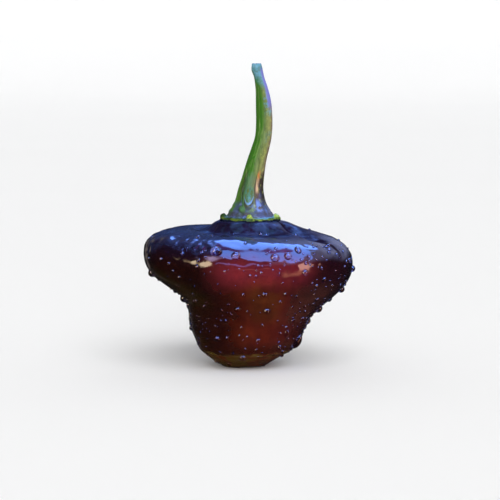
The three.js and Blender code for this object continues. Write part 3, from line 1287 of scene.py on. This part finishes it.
    def material(self) -> bpy.types.Material:
        """Builds the material.

        Returns:
            The material.
        """
        material, nodes = new_material("pepper_skin")
        coordinates = nodes.add("ShaderNodeTexCoord").outputs
        place = coordinates["Object"]
        height = nodes.add("ShaderNodeSeparateXYZ", {0: place}).outputs[2]
        pores = nodes.noise(place, 2600, 2, 0.5)
        waves = nodes.noise(place, 700, 2, 0.5)
        skin_bump = nodes.add(
            "ShaderNodeBump", {"Strength": 0.35, "Distance": 0.00003, "Height": pores}
        ).outputs["Normal"]
        film_bump = nodes.add(
            "ShaderNodeBump", {"Strength": 0.5, "Distance": 0.00005, "Height": waves}
        ).outputs["Normal"]
        furrow = self.furrow(nodes, place, coordinates["UV"])
        film = nodes.times(self.film(nodes, place), nodes.less(1.0, furrow))
        sheen = nodes.math("MULTIPLY_ADD", nodes.fade(height, 0.0204, 0.0230), 0.12, 0.02)
        sheen = nodes.times(sheen, nodes.less(1.0, furrow))
        spots = nodes.math("MULTIPLY_ADD", nodes.spots((0.42, 0.6), place, 330, 3, 0.6), 0.7, 0.1)
        sheen = nodes.times(sheen, nodes.math("MAXIMUM", film, spots))
        shader = nodes.add(
            "ShaderNodeBsdfPrincipled",
            {
                "Base Color": self.colour(nodes, place),
                "Roughness": self.roughness,
                "Specular IOR Level": sheen,
                "Coat Weight": film,
                "Coat Roughness": 0.03,
                "Coat IOR": 1.5,
                "Normal": skin_bump,
                "Coat Normal": film_bump,
            },
        )
        nodes.add("ShaderNodeOutputMaterial", {"Surface": shader})
        return material


@dataclass(frozen=True)
class StemFinish:
    """Green pedicel and calyx, olive in front, purplish at the right, with painted bluish sky reflections at
    both ends.

    Attributes:
        across: colours from the left edge (0) to the right edge (1) of the pedicel.
        flare: colours across the foot of the pedicel, where it widens, with painted shade in its left groove
            and along its right edge.
        painted_sky: colour of the calyx's bluish patches of painted sky reflection.
        tooth: colour of the teeth on the right and in front.
        lip_reflection: colour of the painted sky reflection in patches on the top of the lip on the right.
        leaf: colour of the teeth and of the lip on the left.
        top: colour of the picked end, a teal painted sky reflection.
        violet_reflection: colour of the painted sky reflection along the right edge near the picked end.
        strand: colours of the pedicel's light and dark strands.
        glint: colours of the warm glint on its right, low and high.
        blue_reflection: colour of the bluish patches of painted sky reflection on its upper right.
        grain: colours of its light and dark grain.
        end_spots: colours of the spots on the picked end: blue ones of painted sky reflection, and dark
            ones.
        fleck: colour of the blue flecks of painted sky reflection below that end.
        strip: colours of the strip in front: plain, bluish and dark mottles.
        strip_shadow: colour of the shadow below the strip's end.
        strip_highlight: colour of the painted highlight round the strip's end.
        sheen: colour of the blue sheen on the right of the calyx.
        shade: colour of the dark patches on its far right.
        ring: colour of the ring above the lip.
        lip_line: colours of the broken bright line along the lip.
        foot: colours of the painted shade on the calyx where it meets the pod, below the lip.
        scar: colour of the brown mark beside the tooth on the right.
    """

    across: tuple[tuple[float, Colour], ...] = (
        (0.0, (0.036, 0.125, 0.010)),
        (0.3, (0.024, 0.130, 0.005)),
        (0.4, (0.058, 0.160, 0.020)),
        (0.5, (0.105, 0.165, 0.048)),
        (0.68, (0.155, 0.200, 0.062)),
        (0.83, (0.215, 0.240, 0.080)),
        (0.92, (0.195, 0.150, 0.085)),
        (1.0, (0.090, 0.050, 0.060)),
    )
    # the stop at 0.17 is painted shade in the groove on the left; the near-black stops from 0.9 are painted
    # shade along the right edge
    flare: tuple[tuple[float, Colour], ...] = (
        (0.0, (0.080, 0.200, 0.024)),
        (0.09, (0.050, 0.120, 0.014)),
        (0.17, (0.024, 0.046, 0.012)),
        (0.28, (0.075, 0.190, 0.070)),
        (0.44, (0.095, 0.170, 0.080)),
        (0.6, (0.130, 0.160, 0.070)),
        (0.7, (0.085, 0.060, 0.045)),
        (0.8, (0.110, 0.075, 0.070)),
        (0.9, (0.030, 0.024, 0.016)),
        (1.0, (0.016, 0.014, 0.012)),
    )
    painted_sky: Colour = (0.050, 0.070, 0.130)
    tooth: Colour = (0.300, 0.420, 0.040)
    lip_reflection: Colour = (0.100, 0.270, 0.360)
    leaf: Colour = (0.026, 0.052, 0.016)
    top: Colour = (0.080, 0.220, 0.260)
    violet_reflection: Colour = (0.165, 0.150, 0.480)
    strand: tuple[Colour, Colour] = ((0.3, 0.36, 0.16), (0.06, 0.11, 0.03))
    glint: tuple[Colour, Colour] = ((0.62, 0.42, 0.26), (0.65, 0.22, 0.05))
    blue_reflection: Colour = (0.12, 0.30, 0.32)
    grain: tuple[Colour, Colour] = ((0.36, 0.42, 0.10), (0.05, 0.075, 0.03))
    end_spots: tuple[Colour, Colour] = ((0.16, 0.36, 0.52), (0.10, 0.17, 0.16))
    fleck: Colour = (0.10, 0.29, 0.40)
    strip: tuple[Colour, ...] = ((0.085, 0.120, 0.022), (0.070, 0.19, 0.13), (0.028, 0.060, 0.018))
    strip_shadow: Colour = (0.04, 0.038, 0.03)
    strip_highlight: Colour = (0.14, 0.26, 0.44)
    sheen: Colour = (0.17, 0.27, 0.66)
    shade: Colour = (0.045, 0.045, 0.052)
    ring: Colour = (0.050, 0.048, 0.062)
    lip_line: tuple[Colour, Colour] = ((0.055, 0.10, 0.016), (0.20, 0.28, 0.035))
    foot: tuple[Colour, Colour] = ((0.004, 0.005, 0.010), (0.012, 0.018, 0.045))
    scar: Colour = (0.09, 0.03, 0.015)
    STRIP_TURN = 263 / 360  # direction of the strip in front, as a share of a turn
    STRIP_HALF = 17 / 360  # half its width, the same way
    TOOTH_TURN = 268 / 360  # direction of the tooth in front
    TEETH = 5.0
    MIDDLE = (0.00017, 0.0003)  # the stem's middle at its foot, in metres

    def colour(self, nodes: Nodes, coordinates: bpy.types.Node, strands: object) -> bpy.types.NodeSocket:
        """Works out the stem's colour.

        Args:
            nodes: the node tree.
            coordinates: the texture coordinates.
            strands: noise drawn out along the stem.

        Returns:
            The colour.
        """
        place = coordinates.outputs["Object"]
        z = nodes.add("ShaderNodeSeparateXYZ", {0: place}).outputs[2]
        turn = nodes.add("ShaderNodeSeparateXYZ", {0: coordinates.outputs["UV"]}).outputs[0]
        side = nodes.math("COSINE", nodes.times(turn, 2 * math.pi))
        drift = nodes.times(nodes.less(strands, 0.5), 0.5)
        rightness = nodes.math("MULTIPLY_ADD", nodes.plus(side, drift), 0.5, 0.5)
        patches = nodes.noise(place, 620, 4, 0.6)
        uneven = nodes.times(nodes.less(patches, 0.5), 0.004)
        high = nodes.plus(z, uneven)

        light_strand, dark_strand = self.strand
        colour = nodes.ramp(rightness, list(self.across))
        colour = nodes.mix(nodes.times(nodes.fade(strands, 0.52, 0.72), 0.4), colour, light_strand)
        colour = nodes.mix(nodes.times(nodes.fade(strands, 0.46, 0.3), 0.4), colour, dark_strand)
        # the flare's colours, with painted shade in the groove on the left and along the right edge
        colour = nodes.mix(nodes.fade(high, 0.0338, 0.0318), colour, nodes.ramp(rightness, list(self.flare)))
        lit = nodes.between(side, 0.36, 0.5, 0.62, 0.76)
        lit = nodes.times(lit, nodes.between(z, 0.0293, 0.0303, 0.0326, 0.0338))
        warm = nodes.mix(nodes.fade(z, 0.0316, 0.0326), *self.glint)
        colour = nodes.mix(nodes.times(lit, nodes.fade(strands, 0.34, 0.5)), colour, warm)
        # painted sky reflection: bluish patches on the upper right of the pedicel
        bluish = nodes.times(nodes.fade(patches, 0.5, 0.6), nodes.fade(z, 0.036, 0.041))
        bluish = nodes.times(bluish, nodes.fade(side, -0.1, 0.5))
        colour = nodes.mix(nodes.times(bluish, 0.45), colour, self.blue_reflection)
        grain = nodes.noise(nodes.upright(place, 0.45), 2400, 3, 0.6)
        light_grain, dark_grain = self.grain
        light = nodes.times(nodes.fade(grain, 0.54, 0.66), nodes.fade(side, -0.1, 0.3))
        colour = nodes.mix(nodes.times(light, 0.4), colour, light_grain)
        dim = nodes.times(nodes.fade(grain, 0.46, 0.36), nodes.fade(z, 0.0330, 0.0345))
        colour = nodes.mix(nodes.times(dim, 0.45), colour, dark_grain)
        # painted sky reflection: the picked end teal, with blue spots among dark ones
        upper = nodes.fade(nodes.plus(high, nodes.times(side, 0.0026)), 0.0462, 0.0495)
        blue_spot, dark_spot = self.end_spots
        spotted = nodes.mix(nodes.fade(patches, 0.42, 0.58), self.top, blue_spot)
        spotted = nodes.mix(nodes.fade(grain, 0.55, 0.68), spotted, dark_spot)
        colour = nodes.mix(nodes.times(upper, 0.9), colour, spotted)
        # painted sky reflection: blue flecks below the picked end
        flecked = nodes.times(nodes.fade(z, 0.0425, 0.0440), nodes.fade(grain, 0.44, 0.54))
        flecked = nodes.times(flecked, nodes.fade(side, -0.1, 0.15))
        flecked = nodes.times(flecked, nodes.fade(patches, 0.42, 0.5))
        colour = nodes.mix(nodes.times(flecked, 0.85), colour, self.fleck)
        # painted sky reflection: purple-blue along the right edge near the picked end
        edge = nodes.times(nodes.fade(side, 0.42, 0.66), nodes.fade(z, 0.0432, 0.0452))
        edge = nodes.times(edge, nodes.fade(z, 0.0512, 0.0502))
        colour = nodes.mix(nodes.times(edge, 0.85), colour, self.violet_reflection)
        return self.calyx(nodes, colour, place, turn, patches)

    def calyx(
        self, nodes: Nodes, colour: object, place: object, turn: object, patches: object
    ) -> bpy.types.NodeSocket:
        """Lays the calyx's colours over the stem's.

        Args:
            nodes: the node tree.
            colour: the stem's colour.
            place: the object coordinates.
            turn: the direction, from 0 to 1 round the stem.
            patches: patchy noise.

        Returns:
            The colour.
        """
        x, y, z = nodes.add("ShaderNodeSeparateXYZ", {0: place}).outputs
        side = nodes.math("COSINE", nodes.times(turn, 2 * math.pi))
        # painted sky reflection: bluish patches low on the calyx
        low = nodes.times(nodes.fade(z, 0.0286, 0.0274), nodes.fade(patches, 0.44, 0.54))
        colour = nodes.mix(nodes.times(low, 0.85), colour, self.painted_sky)
        aside = nodes.times(nodes.less(turn, self.STRIP_TURN), 1 / self.STRIP_HALF)
        bent = nodes.times(nodes.math("POWER", aside, 2.0), 0.0009)
        over_end = nodes.less(z, nodes.plus(bent, 0.0279))
        near = nodes.fade(nodes.math("ABSOLUTE", aside), 1.25, 1.0)
        near = nodes.times(near, nodes.fade(z, 0.0312, 0.0300))
        mottle = nodes.noise(nodes.upright(place, 0.4), 1900, 4, 0.6)
        plain_strip, bluish, dark = self.strip
        strip = nodes.mix(nodes.fade(mottle, 0.42, 0.52), plain_strip, bluish)
        strip = nodes.mix(nodes.fade(mottle, 0.56, 0.66), strip, dark)
        colour = nodes.mix(nodes.times(near, nodes.fade(over_end, 0.0002, 0.0004)), colour, strip)
        under = nodes.between(over_end, -0.0011, -0.0009, -0.0003, -0.0001)
        colour = nodes.mix(nodes.times(nodes.times(near, under), 0.8), colour, self.strip_shadow)
        # painted highlight: a pale blue line round the strip's end
        highlight_line = nodes.between(over_end, -0.0002, -0.00005, 0.00015, 0.0003)
        colour = nodes.mix(nodes.times(highlight_line, near), colour, self.strip_highlight)
        sheen = nodes.between(side, 0.3, 0.42, 0.62, 0.74)
        sheen = nodes.times(sheen, nodes.between(z, 0.0264, 0.0268, 0.0280, 0.0290))
        colour = nodes.mix(nodes.times(sheen, nodes.fade(patches, 0.38, 0.46)), colour, self.sheen)
        shade = nodes.times(nodes.fade(side, 0.5, 0.75), nodes.fade(z, 0.0290, 0.0284))
        shade = nodes.times(shade, nodes.fade(patches, 0.5, 0.42))
        colour = nodes.mix(nodes.times(shade, 0.75), colour, self.shade)
        ring = nodes.between(z, 0.0256, 0.0259, 0.0264, 0.0269)
        colour = nodes.mix(nodes.times(ring, 0.75), colour, self.ring)
        offset = nodes.times(nodes.less(turn, self.TOOTH_TURN), self.TEETH)
        beside = nodes.math("ABSOLUTE", nodes.less(nodes.math("FRACT", nodes.plus(offset, 0.5)), 0.5))
        middle_x, middle_y = self.MIDDLE
        from_axis = nodes.apart(nodes.less(x, middle_x), nodes.less(y, middle_y))
        lip = nodes.times(nodes.fade(from_axis, 0.0041, 0.0045), nodes.fade(z, 0.0275, 0.0270))
        rightward = nodes.fade(side, -0.25, 0.05)
        # painted sky reflection: turquoise patches on the top of the lip on the right
        lip_reflection = nodes.mix(nodes.fade(patches, 0.38, 0.48), self.leaf, self.lip_reflection)
        base = nodes.mix(rightward, self.leaf, lip_reflection)
        colour = nodes.mix(lip, colour, base)
        wavy = nodes.plus(z, nodes.times(nodes.less(patches, 0.5), 0.0012))
        line = nodes.times(nodes.fade(wavy, 0.0258, 0.02565), nodes.fade(from_axis, 0.0045, 0.0047))
        line = nodes.times(line, nodes.math("MULTIPLY_ADD", rightward, 0.55, 0.4))
        broken = nodes.spots((0.4, 0.6), nodes.upright(place, 0.3), 900, 2)
        colour = nodes.mix(line, colour, nodes.mix(broken, *self.lip_line))
        # painted shade: near black and dark blue where the calyx meets the pod, below the lip
        foot = nodes.times(nodes.fade(wavy, 0.0254, 0.02525), nodes.fade(from_axis, 0.0042, 0.0045))
        colour = nodes.mix(foot, colour, nodes.mix(patches, *self.foot))
        tooth = nodes.times(nodes.fade(beside, 0.115, 0.085), nodes.fade(z, 0.0256, 0.0258))
        tooth = nodes.times(tooth, nodes.fade(from_axis, 0.0043, 0.0046))
        colour = nodes.mix(tooth, colour, nodes.mix(nodes.fade(side, -0.6, -0.2), self.leaf, self.tooth))
        scar = nodes.between(turn, 0.950, 0.958, 0.975, 0.985)
        scar = nodes.times(scar, nodes.fade(z, 0.0255, 0.0257))
        scar = nodes.times(scar, nodes.fade(from_axis, 0.0043, 0.0046))
        return nodes.mix(scar, colour, self.scar)

    def material(self) -> bpy.types.Material:
        """Builds the material.

        Returns:
            The material.
        """
        material, nodes = new_material("stem_green")
        coordinates = nodes.add("ShaderNodeTexCoord")
        place = coordinates.outputs["Object"]
        fibres = nodes.upright(place, 0.12)
        strands = nodes.noise(fibres, 1500, 5, 0.62)
        grooves = nodes.add(
            "ShaderNodeBump", {"Strength": 0.5, "Distance": 0.00004, "Height": strands}
        ).outputs["Normal"]
        ripples = nodes.noise(place, 1100, 3, 0.5)
        wet = nodes.add(
            "ShaderNodeBump", {"Strength": 0.5, "Distance": 0.00005, "Height": ripples}
        ).outputs["Normal"]
        wetness = nodes.math("MULTIPLY_ADD", nodes.spots((0.47, 0.62), place, 700, 3, 0.55), 0.5, 0.08)
        x, _, z = nodes.add("ShaderNodeSeparateXYZ", {0: place}).outputs
        dry = nodes.times(nodes.fade(x, -0.0036, -0.0044), nodes.fade(z, 0.0272, 0.0268))
        dry = nodes.math("MAXIMUM", dry, nodes.fade(z, 0.0258, 0.0255))
        wet_part = nodes.less(1.0, dry)
        satin = nodes.less(1.0, nodes.times(nodes.fade(z, 0.0305, 0.0325), 0.45))
        shader = nodes.add(
            "ShaderNodeBsdfPrincipled",
            {
                "Base Color": self.colour(nodes, coordinates, strands),
                "Roughness": 0.42,
                "Specular IOR Level": nodes.times(wet_part, 0.12),
                "Coat Weight": nodes.times(wetness, nodes.times(wet_part, satin)),
                "Coat Roughness": 0.09,
                "Coat IOR": 1.42,
                "Normal": grooves,
                "Coat Normal": wet,
            },
        )
        nodes.add("ShaderNodeOutputMaterial", {"Surface": shader})
        return material


@dataclass(frozen=True)
class WaterFinish:
    """Clear water, with a surface that is never quite even.

    Attributes:
        ior: its index of refraction.
        tint: its colour, a purplish grey that darkens the drops and what is seen through them.
    """

    ior: float = 1.55
    tint: Colour = (0.6, 0.52, 0.66)

    def material(self) -> bpy.types.Material:
        """Builds the material, once for all the dew.

        Returns:
            The material.
        """
        known = bpy.data.materials.get("dew_water")
        if known:
            return known
        material, nodes = new_material("dew_water")
        place = nodes.add("ShaderNodeTexCoord").outputs["Object"]
        shiver = nodes.add(
            "ShaderNodeBump",
            {"Strength": 0.12, "Distance": 0.00005, "Height": nodes.noise(place, 1500, 2, 0.5)},
        ).outputs["Normal"]
        shader = nodes.add(
            "ShaderNodeBsdfPrincipled",
            {
                "Base Color": self.tint,
                "Roughness": 0.0,
                "IOR": self.ior,
                "Transmission Weight": 1.0,
                "Normal": shiver,
            },
        )
        nodes.add("ShaderNodeOutputMaterial", {"Surface": shader})
        return material


@dataclass(frozen=True)
class FloorFinish:
    """Plain pale matt floor.

    Attributes:
        colour: its colour.
        darker: what the colour is multiplied by in its darker areas.
    """

    colour: Colour = (0.9, 0.9, 0.9)
    darker: float = 0.985

    def material(self) -> bpy.types.Material:
        """Builds the material.

        Returns:
            The material.
        """
        material, nodes = new_material("pale_floor")
        place = nodes.add("ShaderNodeTexCoord").outputs["Object"]
        darker = tuple(self.darker * value for value in self.colour)
        tint = nodes.mix(nodes.noise(place, 6, 2), self.colour, darker)
        shader = nodes.add(
            "ShaderNodeBsdfPrincipled", {"Base Color": tint, "Roughness": 0.95, "Specular IOR Level": 0.0}
        )
        nodes.add("ShaderNodeOutputMaterial", {"Surface": shader})
        return material


# ---------------------------------------------------------------- floor, light and camera


@dataclass(frozen=True)
class Lamp:
    """A soft lamp that lights matt surfaces and shows in no glossy one.

    Attributes:
        name: its name.
        place: where it is, in metres.
        target: what it points at.
        size: its width and height in metres.
        power: its power in watts.
        colour: its colour.
    """

    name: str
    place: tuple[float, float, float]
    target: tuple[float, float, float]
    size: tuple[float, float]
    power: float
    colour: Colour = (1.0, 1.0, 1.0)

    def build(self) -> bpy.types.Object:
        """Adds the lamp.

        Returns:
            The lamp.
        """
        data = bpy.data.lights.new(self.name, "AREA")
        data.shape = "RECTANGLE"
        data.size, data.size_y = self.size
        data.energy = self.power
        data.color = self.colour
        lamp = bpy.data.objects.new(self.name, data)
        lamp.location = self.place
        aim = Vector(self.target) - Vector(self.place)
        lamp.rotation_euler = aim.to_track_quat("-Z", "Y").to_euler()
        lamp.visible_glossy = False
        lamp.visible_transmission = False
        bpy.context.scene.collection.objects.link(lamp)
        return lamp


@dataclass(frozen=True)
class Patch:
    """A patch of light in the surroundings that only glossy surfaces show.

    Attributes:
        azimuth: its middle's direction in degrees, 0 at the camera's side and 90 at +X.
        height: its middle's height over the horizon, in degrees.
        wide: half its width, in degrees.
        tall: half its height, in degrees.
        tilt: how far it is turned anticlockwise, seen from the pod, in degrees.
        radiance: its radiance.
        ragged: how ragged its edge is.
        soft: how soft its edge is.
    """

    azimuth: float
    height: float
    wide: float
    tall: float
    tilt: float
    radiance: Colour
    ragged: float = 0.5
    soft: float = 0.15

    def share(self, nodes: Nodes, direction: object, leaves: object, twigs: object) -> bpy.types.NodeSocket:
        """Works out where the patch covers the surroundings.

        Args:
            nodes: the node tree.
            direction: the direction that is looked in.
            leaves: noise around 0 for the ragged edge.
            twigs: finer noise around 0, for the edge and for gaps.

        Returns:
            The patch's share, from 0 to 1.
        """
        azimuth, height, tilt = (math.radians(a) for a in (self.azimuth, self.height, self.tilt))
        middle = Vector(
            (math.sin(azimuth) * math.cos(height), -math.cos(azimuth) * math.cos(height), math.sin(height))
        )
        level = Vector((math.cos(azimuth), math.sin(azimuth), 0))
        upright = middle.cross(level)
        if upright.z < 0:
            upright = -upright
        along = level * math.cos(tilt) + upright * math.sin(tilt)
        up = upright * math.cos(tilt) - level * math.sin(tilt)
        half = (math.sin(math.radians(self.wide)), math.sin(math.radians(self.tall)))
        u = nodes.dot(direction, along / half[0])
        v = nodes.dot(direction, up / half[1])
        squares = nodes.plus(nodes.math("POWER", u, 2.0), nodes.math("POWER", v, 2.0))
        edge = nodes.plus(nodes.math("SQRT", squares), nodes.times(leaves, self.ragged))
        edge = nodes.math("MULTIPLY_ADD", twigs, 1.6 * self.ragged, edge)
        faced = nodes.fade(nodes.dot(direction, middle), 0.0, 0.2)
        return nodes.times(nodes.fade(edge, 1 + self.soft, 1 - self.soft), faced)


@dataclass
class Studio:
    """The pale floor with its sweep, the soft light and the camera.

    Attributes:
        lens: focal length in mm.
        elevation: how far the camera looks down, in degrees.
        frame_width: width of the picture at the pod, in metres.
        target: the point in the middle of the picture, in metres.
        sky: radiance of the open sky that the wet skin reflects.
        shadow: radiance of the dark leaves round it.
        haze: radiance of the greyer light at the right and behind.
        patches: smaller patches of light in the reflected surroundings.
    """

    lens: float = 138.6
    elevation: float = 6.0
    frame_width: float = 0.0854
    target: tuple[float, float, float] = (0.00015, 0.0003, 0.01985)
    sky: Colour = (2.0, 4.2, 13.6)
    shadow: Colour = (0.012, 0.013, 0.018)
    haze: Colour = (1.4, 1.5, 2.4)
    patches: tuple[Patch, ...] = (
        Patch(-56, 3, 20, 8, -30, (3.6, 2.6, 1.5), 1.0, 0.35),
        Patch(-40, 32, 9, 8, 0, (6.2, 5.0, 8.5), 1.2, 0.8),
        Patch(-46, 6, 10, 17, -12, (12.6, 9.9, 6.6), 0.8, 0.3),
        Patch(57, -12, 6, 11, -30, (6.0, 2.8, 1.9), 0.9, 0.4),
        Patch(63, 0, 8, 13, 12, (9.6, 5.2, 4.4), 1.0, 0.25),
        Patch(52, -20, 18, 9, 40, (3.0, 1.3, 0.7), 1.0, 0.5),
        Patch(-6, 9, 22, 3.5, -6, (1.0, 1.3, 4.2), 0.8),
        Patch(8, -14, 12, 2.2, -4, (1.8, 0.8, 0.7), 0.7),
        Patch(-85, 76, 15, 9, 20, (0.5, 0.12, 0.75), 1.1, 0.25),
        Patch(-90, 83, 24, 7, 23, (0.6, 0.16, 0.9), 0.9, 0.35),
        Patch(80, 71, 17, 6, 0, (0.9, 0.4, 1.9), 0.8, 0.5),
        Patch(0, 74, 9, 14, 0, (0.9, 0.35, 1.6), 0.9, 0.5),
        Patch(122, -50, 20, 10, 10, (0.24, 0.10, 0.07), 0.7, 0.9),
        Patch(-140, -38, 22, 14, 0, (0.05, 0.035, 0.01), 0.6, 0.9),
        Patch(-152, 8, 4, 30, 0, (0.34, 0.29, 0.27), 0.6, 0.6),
    )
    # the planes that bound the open sky, by the directions that they face
    FRONT = (0.0, 0.5, 0.866)
    BACK = (0.0, -0.74, 0.673)
    RIGHT = (-0.575, -0.373, 0.728)
    LEFT = (0.858, -0.141, 0.494)
    RIGHT_END = (-0.879, -0.477, -0.011)

    def camera(self) -> None:
        """Adds the camera at the photograph's viewing angle."""
        data = bpy.data.cameras.new("camera")
        data.lens = self.lens
        data.sensor_width = 36.0
        data.clip_start = 0.01
        data.clip_end = 50
        camera = bpy.data.objects.new("camera", data)
        distance = self.frame_width * self.lens / data.sensor_width
        tilt = math.radians(self.elevation)
        away = Vector((0, -math.cos(tilt), math.sin(tilt)))
        camera.location = Vector(self.target) + away * distance
        camera.rotation_euler = (-away).to_track_quat("-Z", "Y").to_euler()
        bpy.context.scene.collection.objects.link(camera)
        bpy.context.scene.camera = camera

    def floor(self) -> None:
        """Adds the floor, which sweeps up into a backdrop far behind the pod."""
        near, start, bend, top, side = -18.0, 1.6, 1.2, 5.0, 5.0
        turns = np.radians(np.linspace(0, 90, 25))
        profile = [(near, 0.0)]
        profile += [(start + bend * math.sin(t), bend * (1 - math.cos(t))) for t in turns]
        profile += [(start + bend, top)]
        points = np.array([[x, y, z] for y, z in profile for x in (-side, side)])
        faces = [(2 * n, 2 * n + 1, 2 * n + 3, 2 * n + 2) for n in range(len(profile) - 1)]
        floor = add_mesh("floor", points, faces)
        floor.data.materials.append(FloorFinish().material())
        floor.visible_glossy = False
        floor.visible_transmission = False

    def surroundings(self, nodes: Nodes, direction: object) -> bpy.types.NodeSocket:
        """Works out what glossy surfaces show: a window of open sky between dark leaves.

        Args:
            nodes: the node tree.
            direction: the direction that is looked in.

        Returns:
            The radiance.
        """
        x, y, height = nodes.add("ShaderNodeSeparateXYZ", {0: direction}).outputs
        leaves = nodes.less(nodes.noise(direction, 4.5, 5, 0.65), 0.5)
        twigs = nodes.less(nodes.noise(direction, 11, 5, 0.7), 0.5)
        edge = nodes.times(leaves, 0.35)

        def inside(normal: Colour, soft: float, offset: float = 0.0) -> bpy.types.NodeSocket:
            """Fades in on one side of a plane through the middle, with a leafy edge."""
            side = nodes.plus(nodes.dot(direction, normal), edge)
            return nodes.fade(nodes.plus(side, offset), -soft, soft)

        ragged = nodes.times(twigs, 0.28)
        front = nodes.fade(nodes.plus(nodes.dot(direction, self.FRONT), ragged), -0.03, 0.05)
        back = inside(self.BACK, 0.06)
        right = inside(self.RIGHT, 0.03)
        left = inside(self.LEFT, 0.05, -0.1)
        right_end = inside(self.RIGHT_END, 0.03, 0.6045)
        window = nodes.times(nodes.times(front, back), nodes.times(right, left))
        window = nodes.times(window, right_end)
        torn = nodes.times(inside(self.LEFT, 0.1, 0.2), nodes.fade(twigs, -0.02, 0.06))
        torn = nodes.times(torn, nodes.fade(height, 0.55, 0.85))
        torn = nodes.times(torn, right)
        behind = nodes.times(nodes.fade(y, 0.3, 0.7), nodes.fade(height, 0.0, 0.2))
        aside = nodes.times(nodes.fade(x, 0.15, 0.6), nodes.fade(height, 0.12, 0.5))
        patchy = nodes.plus(0.75, nodes.times(leaves, 2.2), clamp=True)
        dim = nodes.math("MAXIMUM", nodes.times(behind, 0.02), nodes.times(aside, 0.08))
        dim = nodes.math("MAXIMUM", nodes.times(dim, patchy), nodes.times(torn, 0.13))
        colour = nodes.mix(dim, self.shadow, self.sky)
        beyond = nodes.times(nodes.fade(x, 0.0, 0.25), behind)
        greyer = nodes.math("MAXIMUM", nodes.times(aside, 0.66), nodes.times(beyond, 0.3))
        colour = nodes.mix(greyer, colour, self.haze)
        clouds = nodes.math("MULTIPLY_ADD", nodes.noise(direction, 7, 4, 0.6), 1.5, 0.35)
        bright = nodes.mix(clouds, (0.0, 0.0, 0.0), self.sky)
        colour = nodes.mix(window, colour, bright)
        for patch in self.patches:
            colour = nodes.mix(patch.share(nodes, direction, leaves, twigs), colour, patch.radiance)
        return colour

    def world(self) -> None:
        """Adds the surroundings: pale to look at, a little light, and a sky for the gloss."""
        world = bpy.data.worlds.new("surroundings")
        world.use_nodes = True
        bpy.context.scene.world = world
        nodes = Nodes(world.node_tree)
        direction = nodes.add("ShaderNodeTexCoord").outputs["Generated"]
        path = nodes.add("ShaderNodeLightPath").outputs
        seen = nodes.add("ShaderNodeBackground", {"Color": (0.92, 0.92, 0.92), "Strength": 1.0})
        fill = nodes.add("ShaderNodeBackground", {"Color": (0.97, 0.98, 1.0), "Strength": 0.45})
        mirrored = self.surroundings(nodes, direction)
        gloss = nodes.add("ShaderNodeBackground", {"Color": mirrored, "Strength": 1.0})
        shiny = nodes.math("MAXIMUM", path["Is Glossy Ray"], path["Is Transmission Ray"])
        lit = nodes.add("ShaderNodeMixShader", {0: shiny, 1: fill, 2: gloss})
        both = nodes.add("ShaderNodeMixShader", {0: path["Is Camera Ray"], 1: lit, 2: seen})
        nodes.add("ShaderNodeOutputWorld", {"Surface": both})

    def lights(self) -> None:
        """Adds the lamps."""
        sun = bpy.data.lights.new("soft_key", "SUN")
        sun.energy = 1.75
        sun.angle = math.radians(50)
        key = bpy.data.objects.new("soft_key", sun)
        key.rotation_euler = Vector((-0.2, 0.8, -0.9)).to_track_quat("-Z", "Y").to_euler()
        key.visible_glossy = False
        bpy.context.scene.collection.objects.link(key)
        front = Lamp(
            name="front_fill",
            place=(0.2, -2.0, 0.432),
            target=(0.0, 0.0, 0.016),
            size=(0.88, 0.88),
            power=16.0,
            colour=(1.0, 0.97, 0.93),
        )
        front.build()

    def build(self) -> None:
        """Adds floor, surroundings, lamps and camera."""
        self.floor()
        self.world()
        self.lights()
        self.camera()
        scene = bpy.context.scene
        scene.view_settings.view_transform = "Standard"
        log.info("studio: camera at %s", tuple(round(c, 3) for c in scene.camera.location))


# ---------------------------------------------------------------- all of it


def main() -> None:
    """Builds the pepper and its studio."""
    shape = PodShape()
    Pod(shape).build(SkinFinish())
    Stem().build(StemFinish())
    Dew(shape).build(WaterFinish())
    Studio().build()


if __name__ == "__main__":
    main()
